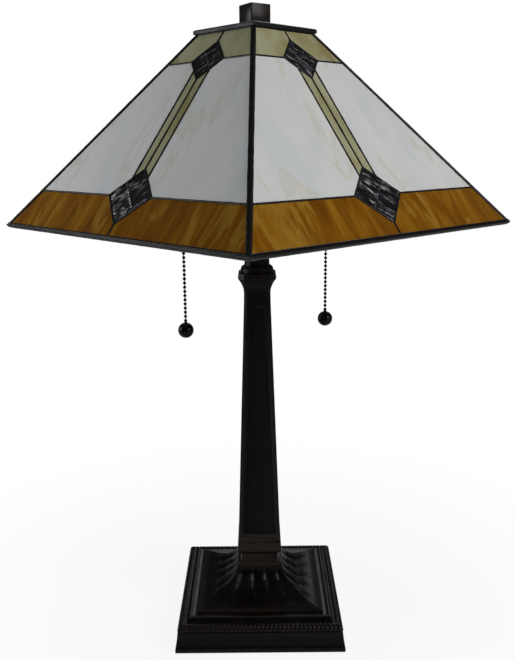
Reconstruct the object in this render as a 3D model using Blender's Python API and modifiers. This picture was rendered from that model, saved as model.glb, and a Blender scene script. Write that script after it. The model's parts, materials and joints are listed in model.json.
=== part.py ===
"""Two-light table lamp with a square pyramid stained glass shade.

Metres, +Z up. The origin is on the lamp's axis at table level and the front is -Y. The base stands
square to the axes; the shade and the finial are turned about the lamp's axis.
"""

import math

import bmesh
import bpy
from mathutils import Matrix, Vector

OBJECT_NAME = "stained_glass_table_lamp"

# Gaps and fineness
GAP = 0.0003
MERGE = 0.00001
ROUND_STEPS = 24
BEAD_STEPS = 8
THROUGH = 0.02

# Shade: a square pyramid. Half sides and heights are of the outer faces.
SHADE_TURN = math.radians(43.7)
RIM_HALF = 0.1727
RIM_PLANE_HALF = 0.1718
RIM_Z = 0.4120
CROWN_HALF = 0.0379
CROWN_Z = 0.5845
CROWN_TUCK = 0.0020
SHELL_THICK = 0.0034
GLASS_THICK = 0.0024
GLASS_RECESS = 0.0005
CAME_HALF = 0.0012
HIP_HALF = 0.0024
RIM_BAND = 0.0060

# Pane pattern on one face. T is the fraction of the slope below the cap, X is across the face.
T_UPPER_TOP = 0.0534
T_UPPER_MID = 0.150
T_UPPER_BOTTOM = 0.2465
UPPER_HALF_X = 0.0213
STRIP_HALF_X = 0.0105
T_LOWER_TOP = 0.6785
T_LOWER_MID = 0.804
T_LOWER_BOTTOM = 0.932
LOWER_HALF_X = 0.0300

# Cap and finial
CAP_HALF = 0.0402
CAP_WALL = 0.0013
CAP_PLATE = 0.0015
CAP_EDGE_Z = 0.5879
CAP_TOP_Z = 0.5932
CAP_FLAT_HALF = 0.0110
CAP_HOLE_R = 0.0040
FINIAL_TURN = math.radians(33.0)
FINIAL_HALF = 0.01055
FINIAL_TOP_Z = 0.6100
FINIAL_EDGE = 0.0009
FINIAL_BORE_R = 0.0037
FINIAL_BORE_DEPTH = 0.0115

# Centre stem, between the cluster and the finial
STEM_R = 0.0032
STEM_BOTTOM_Z = 0.3906
STEM_TOP_Z = 0.6040
STEM_SHOULDER_R = 0.0090
STEM_SHOULDER_H = 0.0030

# Column: half widths of a square section with cut corners
COLUMN_BOTTOM_Z = 0.0593
COLUMN_TOP_Z = 0.3655
SHAFT_LOW_HALF = 0.0211
SHAFT_LOW_Z = 0.1000
SHAFT_HIGH_HALF = 0.0131
SHAFT_HIGH_Z = 0.3360
SHAFT_NECK_HALF = 0.0129
SHAFT_NECK_Z = 0.3465
CAPITAL_HALF = 0.0184
CAPITAL_TOP_HALF = 0.0178
CAPITAL_Z = 0.3605
CAVETTO_R = 0.0206
SHAFT_CHAMFER = 0.0030
CAPITAL_CHAMFER = 0.0055
DOME_R = 0.0161
DOME_Z = 0.3678
NECK_R = 0.0122
NECK_Z = 0.3726
NECK_TOP_Z = 0.3780
DOME_SINK = 0.0020
COLUMN_BORE_R = 0.0055
PANEL_LOW_Z = 0.0960
PANEL_HIGH_Z = 0.3340
PANEL_LOW_MARGIN = 0.0040
PANEL_HIGH_MARGIN = 0.0052
PANEL_STEP = 0.0017
PANEL_DEPTH = 0.0007

# Base
BASE_TOP_Z = 0.0590
BASE_BOTTOM_Z = 0.0010
BASE_HALF = 0.0835
CAVITY_TOP_Z = 0.0500
ROD_HOLE_R = 0.0053
PAD_HALF = 0.0799
PAD_THICK = 0.0015
PAD_CORNER = 0.0020

# Threaded tube that holds base and column together, and its nut
ROD_R = 0.0048
ROD_BORE_R = 0.0033
ROD_BOTTOM_Z = 0.0410
ROD_TOP_Z = 0.3840
NUT_R = 0.0085
NUT_HOLE_R = 0.0051
NUT_HEIGHT = 0.0050

# Socket cluster
SOCKET_AZIMUTH = math.radians(19.0)
SOCKET_RISE = math.radians(62.0)
SOCKET_FOOT_R = 0.0320
SOCKET_FOOT_Z = 0.3940
CLUSTER_R = 0.0145
CLUSTER_BOTTOM_Z = NECK_TOP_Z + GAP
CLUSTER_TOP_Z = 0.3980
CLUSTER_BORE_R = 0.0052
CLUSTER_BORE_TOP_Z = 0.3880
STUD_BORE_R = 0.0036
ARM_R = 0.0050
ARM_Z = 0.3860

# Sockets, along their own axis
SOCKET_LENGTH = 0.0580
SOCKET_SHELL_R = 0.0156
SOCKET_CAP_R = 0.0175
SOCKET_BORE_R = 0.0136
SOCKET_BORE_FLOOR = 0.0340
SPOUT_S = 0.0210
SPOUT_STUB_R = 0.0034
SPOUT_RADIUS = 0.0730
SPOUT_TUBE_R = 0.0042
SPOUT_TUBE_LOW_Z = 0.3890
SPOUT_TUBE_HIGH_Z = 0.4050
SPOUT_BORE_R = 0.0025
SPOUT_BORE_TOP_Z = 0.4035

# Bulbs, along the socket's axis
BULB_CAP_R = 0.0130
BULB_CAP_FLOOR = 0.0346
BULB_NECK_R = 0.0134
BULB_GLOBE_R = 0.0240
BULB_GLOBE_S = 0.0996

# Pull chains
BEAD_R = 0.0016
BEAD_PITCH = 0.00405
LINK_R = 0.0006
LEAD_BEADS = 3
CHAIN_BEADS = 17
CHAIN_TOP_BEAD_Z = 0.38735
BALL_R = 0.0075
BALL_Z = 0.3130

# Power cord and plug
CORD_R = 0.0025
CORD_HOLE_R = 0.0033
CORD_EXIT_Z = 0.0080
CORD_TOP_Z = 0.3870
CORD_BEND_R = 0.0120
CORD_BEND_STEPS = 4
STRAND_LOW_Z = 0.0028
STRAND_HIGH_Z = 0.0086
STRAND_FIRST_Y = 0.0925
STRAND_PITCH = 0.0058
STRAND_LEFT_X = -0.0250
STRAND_RIGHT_X = 0.0720
PLUG_LENGTH = 0.0220
PLUG_WIDTH = 0.0140
PLUG_HEIGHT = 0.0115
PLUG_Z = 0.0065
PLUG_X = -0.0500
BLADE_LENGTH = 0.0160
BLADE_WIDTH = 0.0015
BLADE_HEIGHT = 0.0062
BLADE_SPACING = 0.0064

FACES = ("front_right", "back_right", "back_left", "front_left")

SLOPE = math.hypot(RIM_PLANE_HALF - CROWN_HALF, RIM_Z - CROWN_Z)
SLOPE_OUT = (RIM_PLANE_HALF - CROWN_HALF) / SLOPE
SLOPE_DOWN = (CROWN_Z - RIM_Z) / SLOPE


# ---------------------------------------------------------------- scene, materials, collections

def clear_scene():
    for old in list(bpy.data.objects):
        bpy.data.objects.remove(old, do_unlink=True)


def new_collection(name):
    collection = bpy.data.collections.new(name)
    bpy.context.scene.collection.children.link(collection)
    return collection


def new_material(name, colour, roughness, metallic=0.0, alpha=1.0):
    material = bpy.data.materials.new(name)
    material.use_nodes = True
    shader = material.node_tree.nodes["Principled BSDF"]
    shader.inputs["Base Color"].default_value = (*colour, 1.0)
    shader.inputs["Roughness"].default_value = roughness
    shader.inputs["Metallic"].default_value = metallic
    shader.inputs["Alpha"].default_value = alpha
    return material


def add_part(name, data, material, parent=None):
    part = bpy.data.objects.new(name, data)
    PARTS.objects.link(part)
    if material is not None:
        data.materials.append(material)
    part.parent = parent
    return part


def add_cutter(name, data, parent=None):
    cutter = bpy.data.objects.new(name, data)
    CUTTERS.objects.link(cutter)
    cutter.hide_render = True
    cutter.display_type = "WIRE"
    cutter.parent = parent
    return cutter


def add_axis(name, location=(0.0, 0.0, 0.0), rotation=(0.0, 0.0, 0.0)):
    """An empty on a joint's or a sub-assembly's axis."""
    axis = bpy.data.objects.new(name, None)
    axis.location = location
    axis.rotation_euler = rotation
    axis.empty_display_size = 0.02
    PARTS.objects.link(axis)
    return axis


# ---------------------------------------------------------------- modelling helpers

def profile_mesh(name, points, closed=False):
    """An outline in the XZ plane, as edges only, for a Screw modifier."""
    mesh = bpy.data.meshes.new(name)
    edges = [(i, i + 1) for i in range(len(points) - 1)]
    if closed:
        edges.append((len(points) - 1, 0))
    mesh.from_pydata([(x, 0.0, z) for x, z in points], edges, [])
    return mesh


def add_screw(part, steps):
    screw = part.modifiers.new("Screw", "SCREW")
    screw.axis = "Z"
    screw.steps = steps
    screw.render_steps = steps
    screw.use_merge_vertices = True
    screw.merge_threshold = MERGE
    screw.use_smooth_shade = steps > 4
    return screw


def square_points(points):
    """Half widths of a square section, as the corner radii that a four-step Screw needs."""
    return [(half * math.sqrt(2.0), z) for half, z in points]


def add_boolean(part, other, operation):
    modifier = part.modifiers.new(operation.title(), "BOOLEAN")
    modifier.operation = operation
    modifier.solver = "EXACT"
    modifier.object = other


def arc_points(centre, radius, start, end, steps):
    """Points on an arc in the XZ plane, angles in degrees from +X."""
    points = []
    for i in range(steps + 1):
        angle = math.radians(start + (end - start) * i / steps)
        points.append((centre[0] + radius * math.cos(angle), centre[1] + radius * math.sin(angle)))
    return points


def cylinder_mesh(name, radius, low, high, steps=ROUND_STEPS):
    """A closed cylinder on the local Z axis."""
    mesh = bpy.data.meshes.new(name)
    bm = bmesh.new()
    place = Matrix.Translation((0.0, 0.0, (low + high) / 2.0))
    bmesh.ops.create_cone(
        bm, cap_ends=True, segments=steps, radius1=radius, radius2=radius, depth=high - low, matrix=place
    )
    bm.to_mesh(mesh)
    bm.free()
    return mesh


def box_mesh(name, size, centre=(0.0, 0.0, 0.0), edge=0.0):
    """A box, with its edges rounded off when an edge size is given."""
    mesh = bpy.data.meshes.new(name)
    bm = bmesh.new()
    bmesh.ops.create_cube(bm, size=1.0, matrix=Matrix.Translation(centre) @ Matrix.Diagonal((*size, 1.0)))
    if edge > 0.0:
        bmesh.ops.bevel(bm, geom=bm.edges[:], offset=edge, segments=2, profile=0.5, affect="EDGES")
    bm.to_mesh(mesh)
    bm.free()
    return mesh


def outline_curve(name, outlines, thickness):
    """A flat plate with one or more outlines, centred on its plane."""
    curve = bpy.data.curves.new(name, "CURVE")
    curve.dimensions = "2D"
    curve.fill_mode = "BOTH"
    curve.extrude = thickness / 2.0
    for outline in outlines:
        spline = curve.splines.new("POLY")
        spline.points.add(len(outline) - 1)
        for point, (x, y) in zip(spline.points, outline):
            point.co = (x, y, 0.0, 1.0)
        spline.use_cyclic_u = True
    return curve


def tube_curve(name, points, radius):
    """A round wire along a polyline, with filled ends."""
    curve = bpy.data.curves.new(name, "CURVE")
    curve.dimensions = "3D"
    curve.bevel_depth = radius
    curve.bevel_resolution = 2
    curve.use_fill_caps = True
    spline = curve.splines.new("POLY")
    spline.points.add(len(points) - 1)
    for point, place in zip(spline.points, points):
        point.co = (*place, 1.0)
    return curve


def curve_to_mesh(curve, name):
    """The closed mesh of a curve, its caps welded on."""
    carrier = bpy.data.objects.new(name, curve)
    PARTS.objects.link(carrier)
    bpy.context.view_layer.update()
    evaluated = carrier.evaluated_get(bpy.context.evaluated_depsgraph_get())
    mesh = bpy.data.meshes.new_from_object(evaluated)
    mesh.name = name
    bm = bmesh.new()
    bm.from_mesh(mesh)
    bmesh.ops.remove_doubles(bm, verts=bm.verts[:], dist=MERGE)
    bm.to_mesh(mesh)
    bm.free()
    bpy.data.objects.remove(carrier, do_unlink=True)
    return mesh


def filleted(points, radius, steps):
    """A polyline whose corners are replaced by arcs."""
    points = [Vector(p) for p in points]
    path = [points[0]]
    for before, corner, after in zip(points, points[1:], points[2:]):
        back = (before - corner).normalized()
        ahead = (after - corner).normalized()
        half_angle = back.angle(ahead) / 2.0
        longest = min((before - corner).length, (after - corner).length) / 2.0
        reach = min(radius / math.tan(half_angle), longest)
        centre = corner + (back + ahead).normalized() * (reach / math.cos(half_angle))
        bend = reach * math.tan(half_angle)
        start = (corner + back * reach - centre).normalized()
        end = (corner + ahead * reach - centre).normalized()
        for i in range(steps + 1):
            path.append(centre + start.slerp(end, i / steps) * bend)
    path.append(points[-1])
    return path


# ---------------------------------------------------------------- shade

def half_width(t):
    return CROWN_HALF + (RIM_PLANE_HALF - CROWN_HALF) * t


def half_at(z):
    """Half side of the face planes at a height."""
    return CROWN_HALF + (CROWN_Z - z) * SLOPE_OUT / SLOPE_DOWN


def on_hip(point):
    x, t = point
    return math.isclose(abs(x), half_width(t), abs_tol=1e-6)


def edge_inset(start, end):
    """How much metal lies between an outline's edge and its pane."""
    if on_hip(start) and on_hip(end) and start[1] != end[1]:
        return HIP_HALF
    if start[1] == end[1] == 1.0:
        return RIM_BAND
    return CAME_HALF


def half_face_outlines():
    """Centre lines of the left half's panes, as (x, t) points, and the two diamonds."""
    strip_high = T_UPPER_BOTTOM - (T_UPPER_BOTTOM - T_UPPER_MID) * STRIP_HALF_X / UPPER_HALF_X
    strip_low = T_LOWER_TOP + (T_LOWER_MID - T_LOWER_TOP) * STRIP_HALF_X / LOWER_HALF_X
    upper_left = (-UPPER_HALF_X, T_UPPER_MID)
    lower_left = (-LOWER_HALF_X, T_LOWER_MID)
    upper_hip = (-half_width(T_UPPER_MID), T_UPPER_MID)
    lower_hip = (-half_width(T_LOWER_MID), T_LOWER_MID)
    strip_head = (-STRIP_HALF_X, strip_high)
    strip_foot = (-STRIP_HALF_X, strip_low)
    return {
        "top": [(0.0, 0.0), (-half_width(0.0), 0.0), upper_hip, upper_left, (0.0, T_UPPER_TOP)],
        "white": [upper_left, upper_hip, lower_hip, lower_left, strip_foot, strip_head],
        "strip": [strip_head, strip_foot, (0.0, T_LOWER_TOP), (0.0, T_UPPER_BOTTOM)],
        "amber": [lower_left, lower_hip, (-half_width(1.0), 1.0), (0.0, 1.0), (0.0, T_LOWER_BOTTOM)],
    }


def diamond(t_top, t_mid, t_bottom, half_x):
    return [(0.0, t_top), (-half_x, t_mid), (0.0, t_bottom), (half_x, t_mid)]


def face_outlines():
    """Every pane of one face: name to outline of (x, t) points, counter-clockwise."""
    outlines = {}
    for name, outline in half_face_outlines().items():
        outlines[name + "_left"] = outline
        outlines[name + "_right"] = [(-x, t) for x, t in reversed(outline)]
    outlines["upper_diamond"] = diamond(T_UPPER_TOP, T_UPPER_MID, T_UPPER_BOTTOM, UPPER_HALF_X)
    outlines["lower_diamond"] = diamond(T_LOWER_TOP, T_LOWER_MID, T_LOWER_BOTTOM, LOWER_HALF_X)
    return outlines


def inset(outline, extra):
    """A pane's outline on the face plane, pulled in by its metal plus an extra gap."""
    count = len(outline)
    lines = []
    for i in range(count):
        start = outline[i]
        end = outline[(i + 1) % count]
        a = Vector((start[0], -start[1] * SLOPE))
        b = Vector((end[0], -end[1] * SLOPE))
        along = (b - a).normalized()
        inward = Vector((-along.y, along.x))
        lines.append((a + inward * (edge_inset(start, end) + extra), along))
    corners = []
    for i in range(count):
        p, u = lines[i - 1]
        q, v = lines[i]
        reach = (q - p).cross(v) / u.cross(v)
        corners.append(tuple(p + u * reach))
    return corners


def face_matrix(index):
    """From the face plane (x across, y up the slope, z outward) to the shade's own frame."""
    azimuth = math.radians(-90.0 + 90.0 * index)
    out = Vector((math.cos(azimuth), math.sin(azimuth), 0.0))
    up = Vector((0.0, 0.0, 1.0))
    across = up.cross(out)
    climb = up * SLOPE_DOWN - out * SLOPE_OUT
    normal = out * SLOPE_DOWN + up * SLOPE_OUT
    rotation = Matrix((across, climb, normal)).transposed()
    return Matrix.Translation(out * CROWN_HALF + up * CROWN_Z) @ rotation.to_4x4()


def build_panes(shade_axis, glass):
    outlines = face_outlines()
    depth = -(GLASS_RECESS + GLASS_THICK / 2.0)
    for pane, outline in outlines.items():
        plate = outline_curve(pane, [inset(outline, GAP)], GLASS_THICK)
        plate.materials.append(glass[pane.split("_")[0] if "diamond" not in pane else "diamond"])
        for index, face in enumerate(FACES):
            part = add_part(f"pane_{face}_{pane}", plate, None, shade_axis)
            part.matrix_local = face_matrix(index) @ Matrix.Translation((0.0, 0.0, depth))


def build_came(shade_axis, metal):
    """The soldered lattice: a hollow pyramid with a pocket for each pane, and the rim."""
    crown_z = CROWN_Z + CROWN_TUCK
    foot_z = RIM_Z + CAME_HALF
    wall = SHELL_THICK / SLOPE_DOWN
    shell = [
        (half_at(crown_z), crown_z),
        (half_at(foot_z), foot_z),
        (half_at(foot_z) - wall, foot_z),
        (half_at(crown_z) - wall, crown_z),
    ]
    pyramid = profile_mesh("shade_came", square_points(shell), closed=True)
    came = add_part("shade_came", pyramid, metal, shade_axis)
    add_screw(came, 4)
    came.rotation_euler.z = math.radians(45.0)
    pockets = outline_curve("pane_pockets", [inset(o, 0.0) for o in face_outlines().values()], THROUGH)
    pocket_mesh = curve_to_mesh(pockets, "pane_pockets")
    for index, face in enumerate(FACES):
        cutter = add_cutter(f"pockets_{face}", pocket_mesh, shade_axis)
        cutter.matrix_local = face_matrix(index)
        add_boolean(came, cutter, "DIFFERENCE")
    rim = rim_guide(shade_axis)
    add_boolean(came, rim, "UNION")


def rim_guide(shade_axis):
    """The rim bead: a square ring that follows the slope and stands a little proud of it."""
    up_slope = Vector((-SLOPE_OUT, SLOPE_DOWN)) * (RIM_BAND - CAME_HALF)
    out = Vector((SLOPE_DOWN, SLOPE_OUT))
    thick = SHELL_THICK + 2.0 * (RIM_HALF - RIM_PLANE_HALF) * SLOPE_DOWN
    outer_foot = Vector((RIM_HALF, RIM_Z))
    inner_foot = Vector((RIM_HALF - thick / SLOPE_DOWN, RIM_Z))
    outer_head = outer_foot + up_slope
    ring = [outer_head, outer_foot, inner_foot, outer_head - out * thick]
    points = square_points([(p.x, p.y) for p in ring])
    rim = add_cutter("rim_ring", profile_mesh("rim_ring", points, closed=True), shade_axis)
    add_screw(rim, 4)
    rim.rotation_euler.z = math.radians(45.0)
    return rim


def build_cap(shade_axis, metal):
    inner = CAP_HALF - CAP_WALL
    outline = [
        (0.0, CAP_TOP_Z),
        (CAP_FLAT_HALF, CAP_TOP_Z),
        (CAP_HALF - CAP_WALL, CAP_EDGE_Z + 0.0007),
        (CAP_HALF, CAP_EDGE_Z),
        (CAP_HALF, CROWN_Z),
        (inner, CROWN_Z),
        (inner, CAP_EDGE_Z - CAP_PLATE),
        (CAP_FLAT_HALF, CAP_TOP_Z - CAP_PLATE),
        (0.0, CAP_TOP_Z - CAP_PLATE),
    ]
    cap = add_part("shade_cap", profile_mesh("shade_cap", square_points(outline)), metal, shade_axis)
    add_screw(cap, 4)
    cap.rotation_euler.z = math.radians(45.0)
    hole = cylinder_mesh("cap_hole", CAP_HOLE_R, CAP_TOP_Z - THROUGH, CAP_TOP_Z + THROUGH)
    add_boolean(cap, add_cutter("cap_hole", hole), "DIFFERENCE")


def build_finial(metal):
    axis = add_axis("finial_axis", rotation=(0.0, 0.0, FINIAL_TURN))
    low = CAP_TOP_Z + GAP
    size = (FINIAL_HALF * 2.0, FINIAL_HALF * 2.0, FINIAL_TOP_Z - low)
    block = box_mesh("finial", size, (0.0, 0.0, (low + FINIAL_TOP_Z) / 2.0), FINIAL_EDGE)
    finial = add_part("finial", block, metal, axis)
    bore = cylinder_mesh("finial_bore", FINIAL_BORE_R, low - THROUGH, low + FINIAL_BORE_DEPTH)
    add_boolean(finial, add_cutter("finial_bore", bore), "DIFFERENCE")


# ---------------------------------------------------------------- stem, column, base

def build_stem(metal):
    shoulder_z = CAP_TOP_Z - CAP_PLATE - GAP
    outline = [
        (0.0, STEM_TOP_Z),
        (STEM_R, STEM_TOP_Z),
        (STEM_R, shoulder_z),
        (STEM_SHOULDER_R, shoulder_z),
        (STEM_SHOULDER_R, shoulder_z - STEM_SHOULDER_H),
        (STEM_R, shoulder_z - STEM_SHOULDER_H),
        (STEM_R, STEM_BOTTOM_Z),
        (0.0, STEM_BOTTOM_Z),
    ]
    stem = add_part("centre_stem", profile_mesh("centre_stem", outline), metal)
    add_screw(stem, ROUND_STEPS)


def shaft_half(z):
    t = (z - SHAFT_LOW_Z) / (SHAFT_HIGH_Z - SHAFT_LOW_Z)
    return SHAFT_LOW_HALF + (SHAFT_HIGH_HALF - SHAFT_LOW_HALF) * t


def column_outline():
    """Half widths of the square column, from the top of its capital down to its foot."""
    sweep = math.degrees(math.asin((CAPITAL_Z - SHAFT_NECK_Z) / CAVETTO_R))
    centre = (SHAFT_NECK_HALF + CAVETTO_R, SHAFT_NECK_Z)
    outline = [(0.0, COLUMN_TOP_Z), (CAPITAL_TOP_HALF, COLUMN_TOP_Z), (CAPITAL_HALF, CAPITAL_Z + 0.0012)]
    outline += arc_points(centre, CAVETTO_R, 180.0 - sweep, 180.0, 6)
    outline += [
        (SHAFT_HIGH_HALF, SHAFT_HIGH_Z),
        (SHAFT_LOW_HALF, SHAFT_LOW_Z),
        (0.0214, 0.0900),
        (0.0216, 0.0868),
        (0.0222, 0.0858),
        (0.0223, 0.0766),
        (0.0212, 0.0752),
        (0.0190, 0.0738),
        (0.0182, 0.0715),
        (0.0182, 0.0672),
        (0.0196, 0.0652),
        (0.0218, 0.0644),
        (0.0232, 0.0630),
        (0.0232, 0.0606),
        (0.0224, COLUMN_BOTTOM_Z),
        (0.0, COLUMN_BOTTOM_Z),
    ]
    return outline


def corner_cut(half, chamfer):
    """Distance from the axis to the flat that cuts a square's corner."""
    return (2.0 * half - chamfer) / math.sqrt(2.0)


def build_column(metal):
    column = add_part("column", profile_mesh("column", square_points(column_outline())), metal)
    add_screw(column, 4)
    column.rotation_euler.z = math.radians(45.0)
    capital_cut = corner_cut(CAPITAL_HALF, CAPITAL_CHAMFER)
    capital_top_cut = corner_cut(CAPITAL_TOP_HALF, CAPITAL_CHAMFER)
    free = 0.040
    flats = [
        (0.0, COLUMN_TOP_Z + THROUGH),
        (capital_top_cut, COLUMN_TOP_Z + THROUGH),
        (capital_top_cut, COLUMN_TOP_Z),
        (capital_cut, CAPITAL_Z),
        (corner_cut(SHAFT_NECK_HALF, SHAFT_CHAMFER), SHAFT_NECK_Z + 0.0010),
        (corner_cut(SHAFT_HIGH_HALF, SHAFT_CHAMFER), SHAFT_HIGH_Z),
        (corner_cut(SHAFT_LOW_HALF, SHAFT_CHAMFER), SHAFT_LOW_Z),
        (corner_cut(SHAFT_LOW_HALF, 0.0), SHAFT_LOW_Z - 0.0060),
        (free, SHAFT_LOW_Z - 0.0070),
        (free, COLUMN_BOTTOM_Z - THROUGH),
        (0.0, COLUMN_BOTTOM_Z - THROUGH),
    ]
    corners = add_cutter("column_corner_guide", profile_mesh("column_corner_guide", square_points(flats)))
    add_screw(corners, 4)
    add_boolean(column, corners, "INTERSECT")
    for step in (0, 1):
        for index in range(4):
            add_boolean(column, panel_cutter(step, index), "DIFFERENCE")
    rise = (NECK_Z - DOME_Z) / (DOME_R - NECK_R)
    shoulder = arc_points((0.0, 0.0), DOME_R - NECK_R, 90.0, 0.0, 5)
    dome = [(0.0, NECK_TOP_Z), (NECK_R, NECK_TOP_Z)]
    dome += [(NECK_R + x, DOME_Z + y * rise) for x, y in shoulder]
    dome += [(DOME_R, COLUMN_TOP_Z - DOME_SINK), (0.0, COLUMN_TOP_Z - DOME_SINK)]
    neck = add_cutter("column_neck", profile_mesh("column_neck", dome))
    add_screw(neck, ROUND_STEPS)
    add_boolean(column, neck, "UNION")
    bore = cylinder_mesh("column_bore", COLUMN_BORE_R, COLUMN_BOTTOM_Z - THROUGH, NECK_TOP_Z + THROUGH)
    add_boolean(column, add_cutter("column_bore", bore), "DIFFERENCE")


def panel_cutter(step, index):
    """One level of the sunk panel in a side of the shaft: a tapering plate laid on the slope."""
    low_half = shaft_half(PANEL_LOW_Z) - PANEL_LOW_MARGIN - step * PANEL_STEP
    high_half = shaft_half(PANEL_HIGH_Z) - PANEL_HIGH_MARGIN - step * PANEL_STEP
    height = PANEL_HIGH_Z - PANEL_LOW_Z - 2.0 * step * PANEL_STEP
    depth = PANEL_DEPTH * (step + 1)
    outline = [
        (-low_half, -height / 2.0),
        (low_half, -height / 2.0),
        (high_half, height / 2.0),
        (-high_half, height / 2.0),
    ]
    name = f"panel_{step}_{index}"
    plate = curve_to_mesh(outline_curve(name, [outline], depth * 2.0), name)
    cutter = add_cutter(name, plate)
    middle_z = (PANEL_LOW_Z + PANEL_HIGH_Z) / 2.0
    lean = math.atan2(SHAFT_LOW_HALF - SHAFT_HIGH_HALF, SHAFT_HIGH_Z - SHAFT_LOW_Z)
    turn = Matrix.Rotation(math.radians(90.0 * index), 4, "Z")
    place = Matrix.Translation((0.0, -shaft_half(middle_z), middle_z))
    tilt = Matrix.Rotation(math.radians(90.0) - lean, 4, "X")
    cutter.matrix_world = turn @ place @ tilt
    return cutter


def base_outline():
    """Half widths of the base, down its outside and up its cavity."""
    outside = [
        (0.0, BASE_TOP_Z),
        (0.0229, BASE_TOP_Z),
        (0.0231, 0.0570),
        (0.0250, 0.0525),
        (0.0285, 0.0480),
        (0.0360, 0.0424),
        (0.0470, 0.0375),
        (0.0690, 0.0312),
        (0.0698, 0.0318),
        (0.0710, 0.0314),
        (0.0718, 0.0282),
        (0.0728, 0.0268),
    ]
    border = arc_points((0.0768, 0.0240), 0.0040, 130.0, 0.0, 5)
    side = [
        (0.0806, 0.0225),
        (0.0824, 0.0062),
        (BASE_HALF, 0.0050),
        (BASE_HALF, 0.0020),
        (BASE_HALF - 0.0008, BASE_BOTTOM_Z),
    ]
    cavity = [
        (PAD_HALF + GAP, BASE_BOTTOM_Z),
        (PAD_HALF + GAP, PAD_THICK + GAP),
        (0.0765, PAD_THICK + GAP),
        (0.0765, 0.0180),
        (0.0700, 0.0230),
        (0.0470, 0.0310),
        (0.0330, 0.0370),
        (0.0210, 0.0455),
        (0.0160, CAVITY_TOP_Z),
        (0.0, CAVITY_TOP_Z),
    ]
    return outside + border + side + cavity


def build_base(metal):
    base = add_part("base", profile_mesh("base", square_points(base_outline())), metal)
    add_screw(base, 4)
    base.rotation_euler.z = math.radians(45.0)
    rod_hole = cylinder_mesh("base_rod_hole", ROD_HOLE_R, CAVITY_TOP_Z - THROUGH, BASE_TOP_Z + THROUGH)
    add_boolean(base, add_cutter("base_rod_hole", rod_hole), "DIFFERENCE")
    cord_hole = cylinder_mesh("base_cord_hole", CORD_HOLE_R, -THROUGH, THROUGH, 16)
    cutter = add_cutter("base_cord_hole", cord_hole)
    cutter.location = (0.0, BASE_HALF, CORD_EXIT_Z)
    cutter.rotation_euler.x = math.radians(90.0)
    add_boolean(base, cutter, "DIFFERENCE")


def build_pad(felt):
    reach = PAD_HALF - PAD_CORNER
    corners = [(reach, reach), (-reach, reach), (-reach, -reach), (reach, -reach)]
    outline = []
    for index, corner in enumerate(corners):
        start = index * 90.0
        outline += arc_points(corner, PAD_CORNER, start, start + 90.0, 3)
    pad = add_part("felt_pad", outline_curve("felt_pad", [outline], PAD_THICK), felt)
    pad.location.z = PAD_THICK / 2.0


def build_rod(metal):
    outline = [
        (ROD_BORE_R, ROD_TOP_Z),
        (ROD_R, ROD_TOP_Z),
        (ROD_R, ROD_BOTTOM_Z),
        (ROD_BORE_R, ROD_BOTTOM_Z),
    ]
    rod = add_part("base_rod", profile_mesh("base_rod", outline, closed=True), metal)
    add_screw(rod, ROUND_STEPS)


def build_nut(metal):
    top = CAVITY_TOP_Z - GAP
    nut = add_part("base_nut", cylinder_mesh("base_nut", NUT_R, top - NUT_HEIGHT, top, 6), metal)
    hole = cylinder_mesh("nut_hole", NUT_HOLE_R, top - THROUGH, top + THROUGH)
    add_boolean(nut, add_cutter("nut_hole", hole), "DIFFERENCE")


# ---------------------------------------------------------------- socket cluster, bulbs, chains

def build_cluster(metal):
    outline = [
        (0.0, CLUSTER_TOP_Z),
        (0.0090, CLUSTER_TOP_Z),
        (0.0125, CLUSTER_TOP_Z - 0.0012),
        (CLUSTER_R, CLUSTER_TOP_Z - 0.0045),
        (CLUSTER_R, CLUSTER_BOTTOM_Z + 0.0045),
        (0.0128, CLUSTER_BOTTOM_Z + 0.0015),
        (0.0105, CLUSTER_BOTTOM_Z),
        (0.0, CLUSTER_BOTTOM_Z),
    ]
    cluster = add_part("cluster_body", profile_mesh("cluster_body", outline), metal)
    add_screw(cluster, ROUND_STEPS)
    reach = Vector((math.cos(SOCKET_RISE), 0.0, math.sin(SOCKET_RISE)))
    foot = Vector((SOCKET_FOOT_R, 0.0, SOCKET_FOOT_Z)) - reach * GAP
    elbow = foot - reach * (foot.z - ARM_Z) / reach.z
    path = filleted([(CLUSTER_BORE_R + 0.0040, 0.0, ARM_Z), elbow, foot], 0.0060, 4)
    arm_mesh = curve_to_mesh(tube_curve("cluster_arm", path, ARM_R), "cluster_arm")
    for index in range(2):
        arm = add_cutter(f"cluster_arm_{index}", arm_mesh)
        arm.rotation_euler.z = SOCKET_AZIMUTH + math.pi * index
        add_boolean(cluster, arm, "UNION")
    bore = cylinder_mesh("cluster_bore", CLUSTER_BORE_R, CLUSTER_BOTTOM_Z - THROUGH, CLUSTER_BORE_TOP_Z)
    add_boolean(cluster, add_cutter("cluster_bore", bore), "DIFFERENCE")
    stud = cylinder_mesh("cluster_stud_bore", STUD_BORE_R, STEM_BOTTOM_Z - GAP, CLUSTER_TOP_Z + THROUGH)
    add_boolean(cluster, add_cutter("cluster_stud_bore", stud), "DIFFERENCE")


def socket_outline():
    return [
        (0.0, SOCKET_BORE_FLOOR),
        (SOCKET_BORE_R, SOCKET_BORE_FLOOR),
        (SOCKET_BORE_R, SOCKET_LENGTH),
        (SOCKET_SHELL_R, SOCKET_LENGTH),
        (SOCKET_SHELL_R, 0.0310),
        (SOCKET_CAP_R, 0.0290),
        (SOCKET_CAP_R, 0.0140),
        (0.0145, 0.0070),
        (0.0085, 0.0030),
        (0.0075, 0.0),
        (0.0, 0.0),
    ]


def bulb_outline():
    globe = arc_points((0.0, BULB_GLOBE_S), BULB_GLOBE_R, 90.0, -42.0, 9)
    return globe + [
        (0.0146, 0.0720),
        (BULB_NECK_R, 0.0640),
        (BULB_CAP_R, 0.0600),
        (BULB_CAP_R, 0.0390),
        (0.0060, 0.0352),
        (0.0, BULB_CAP_FLOOR),
    ]


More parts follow.
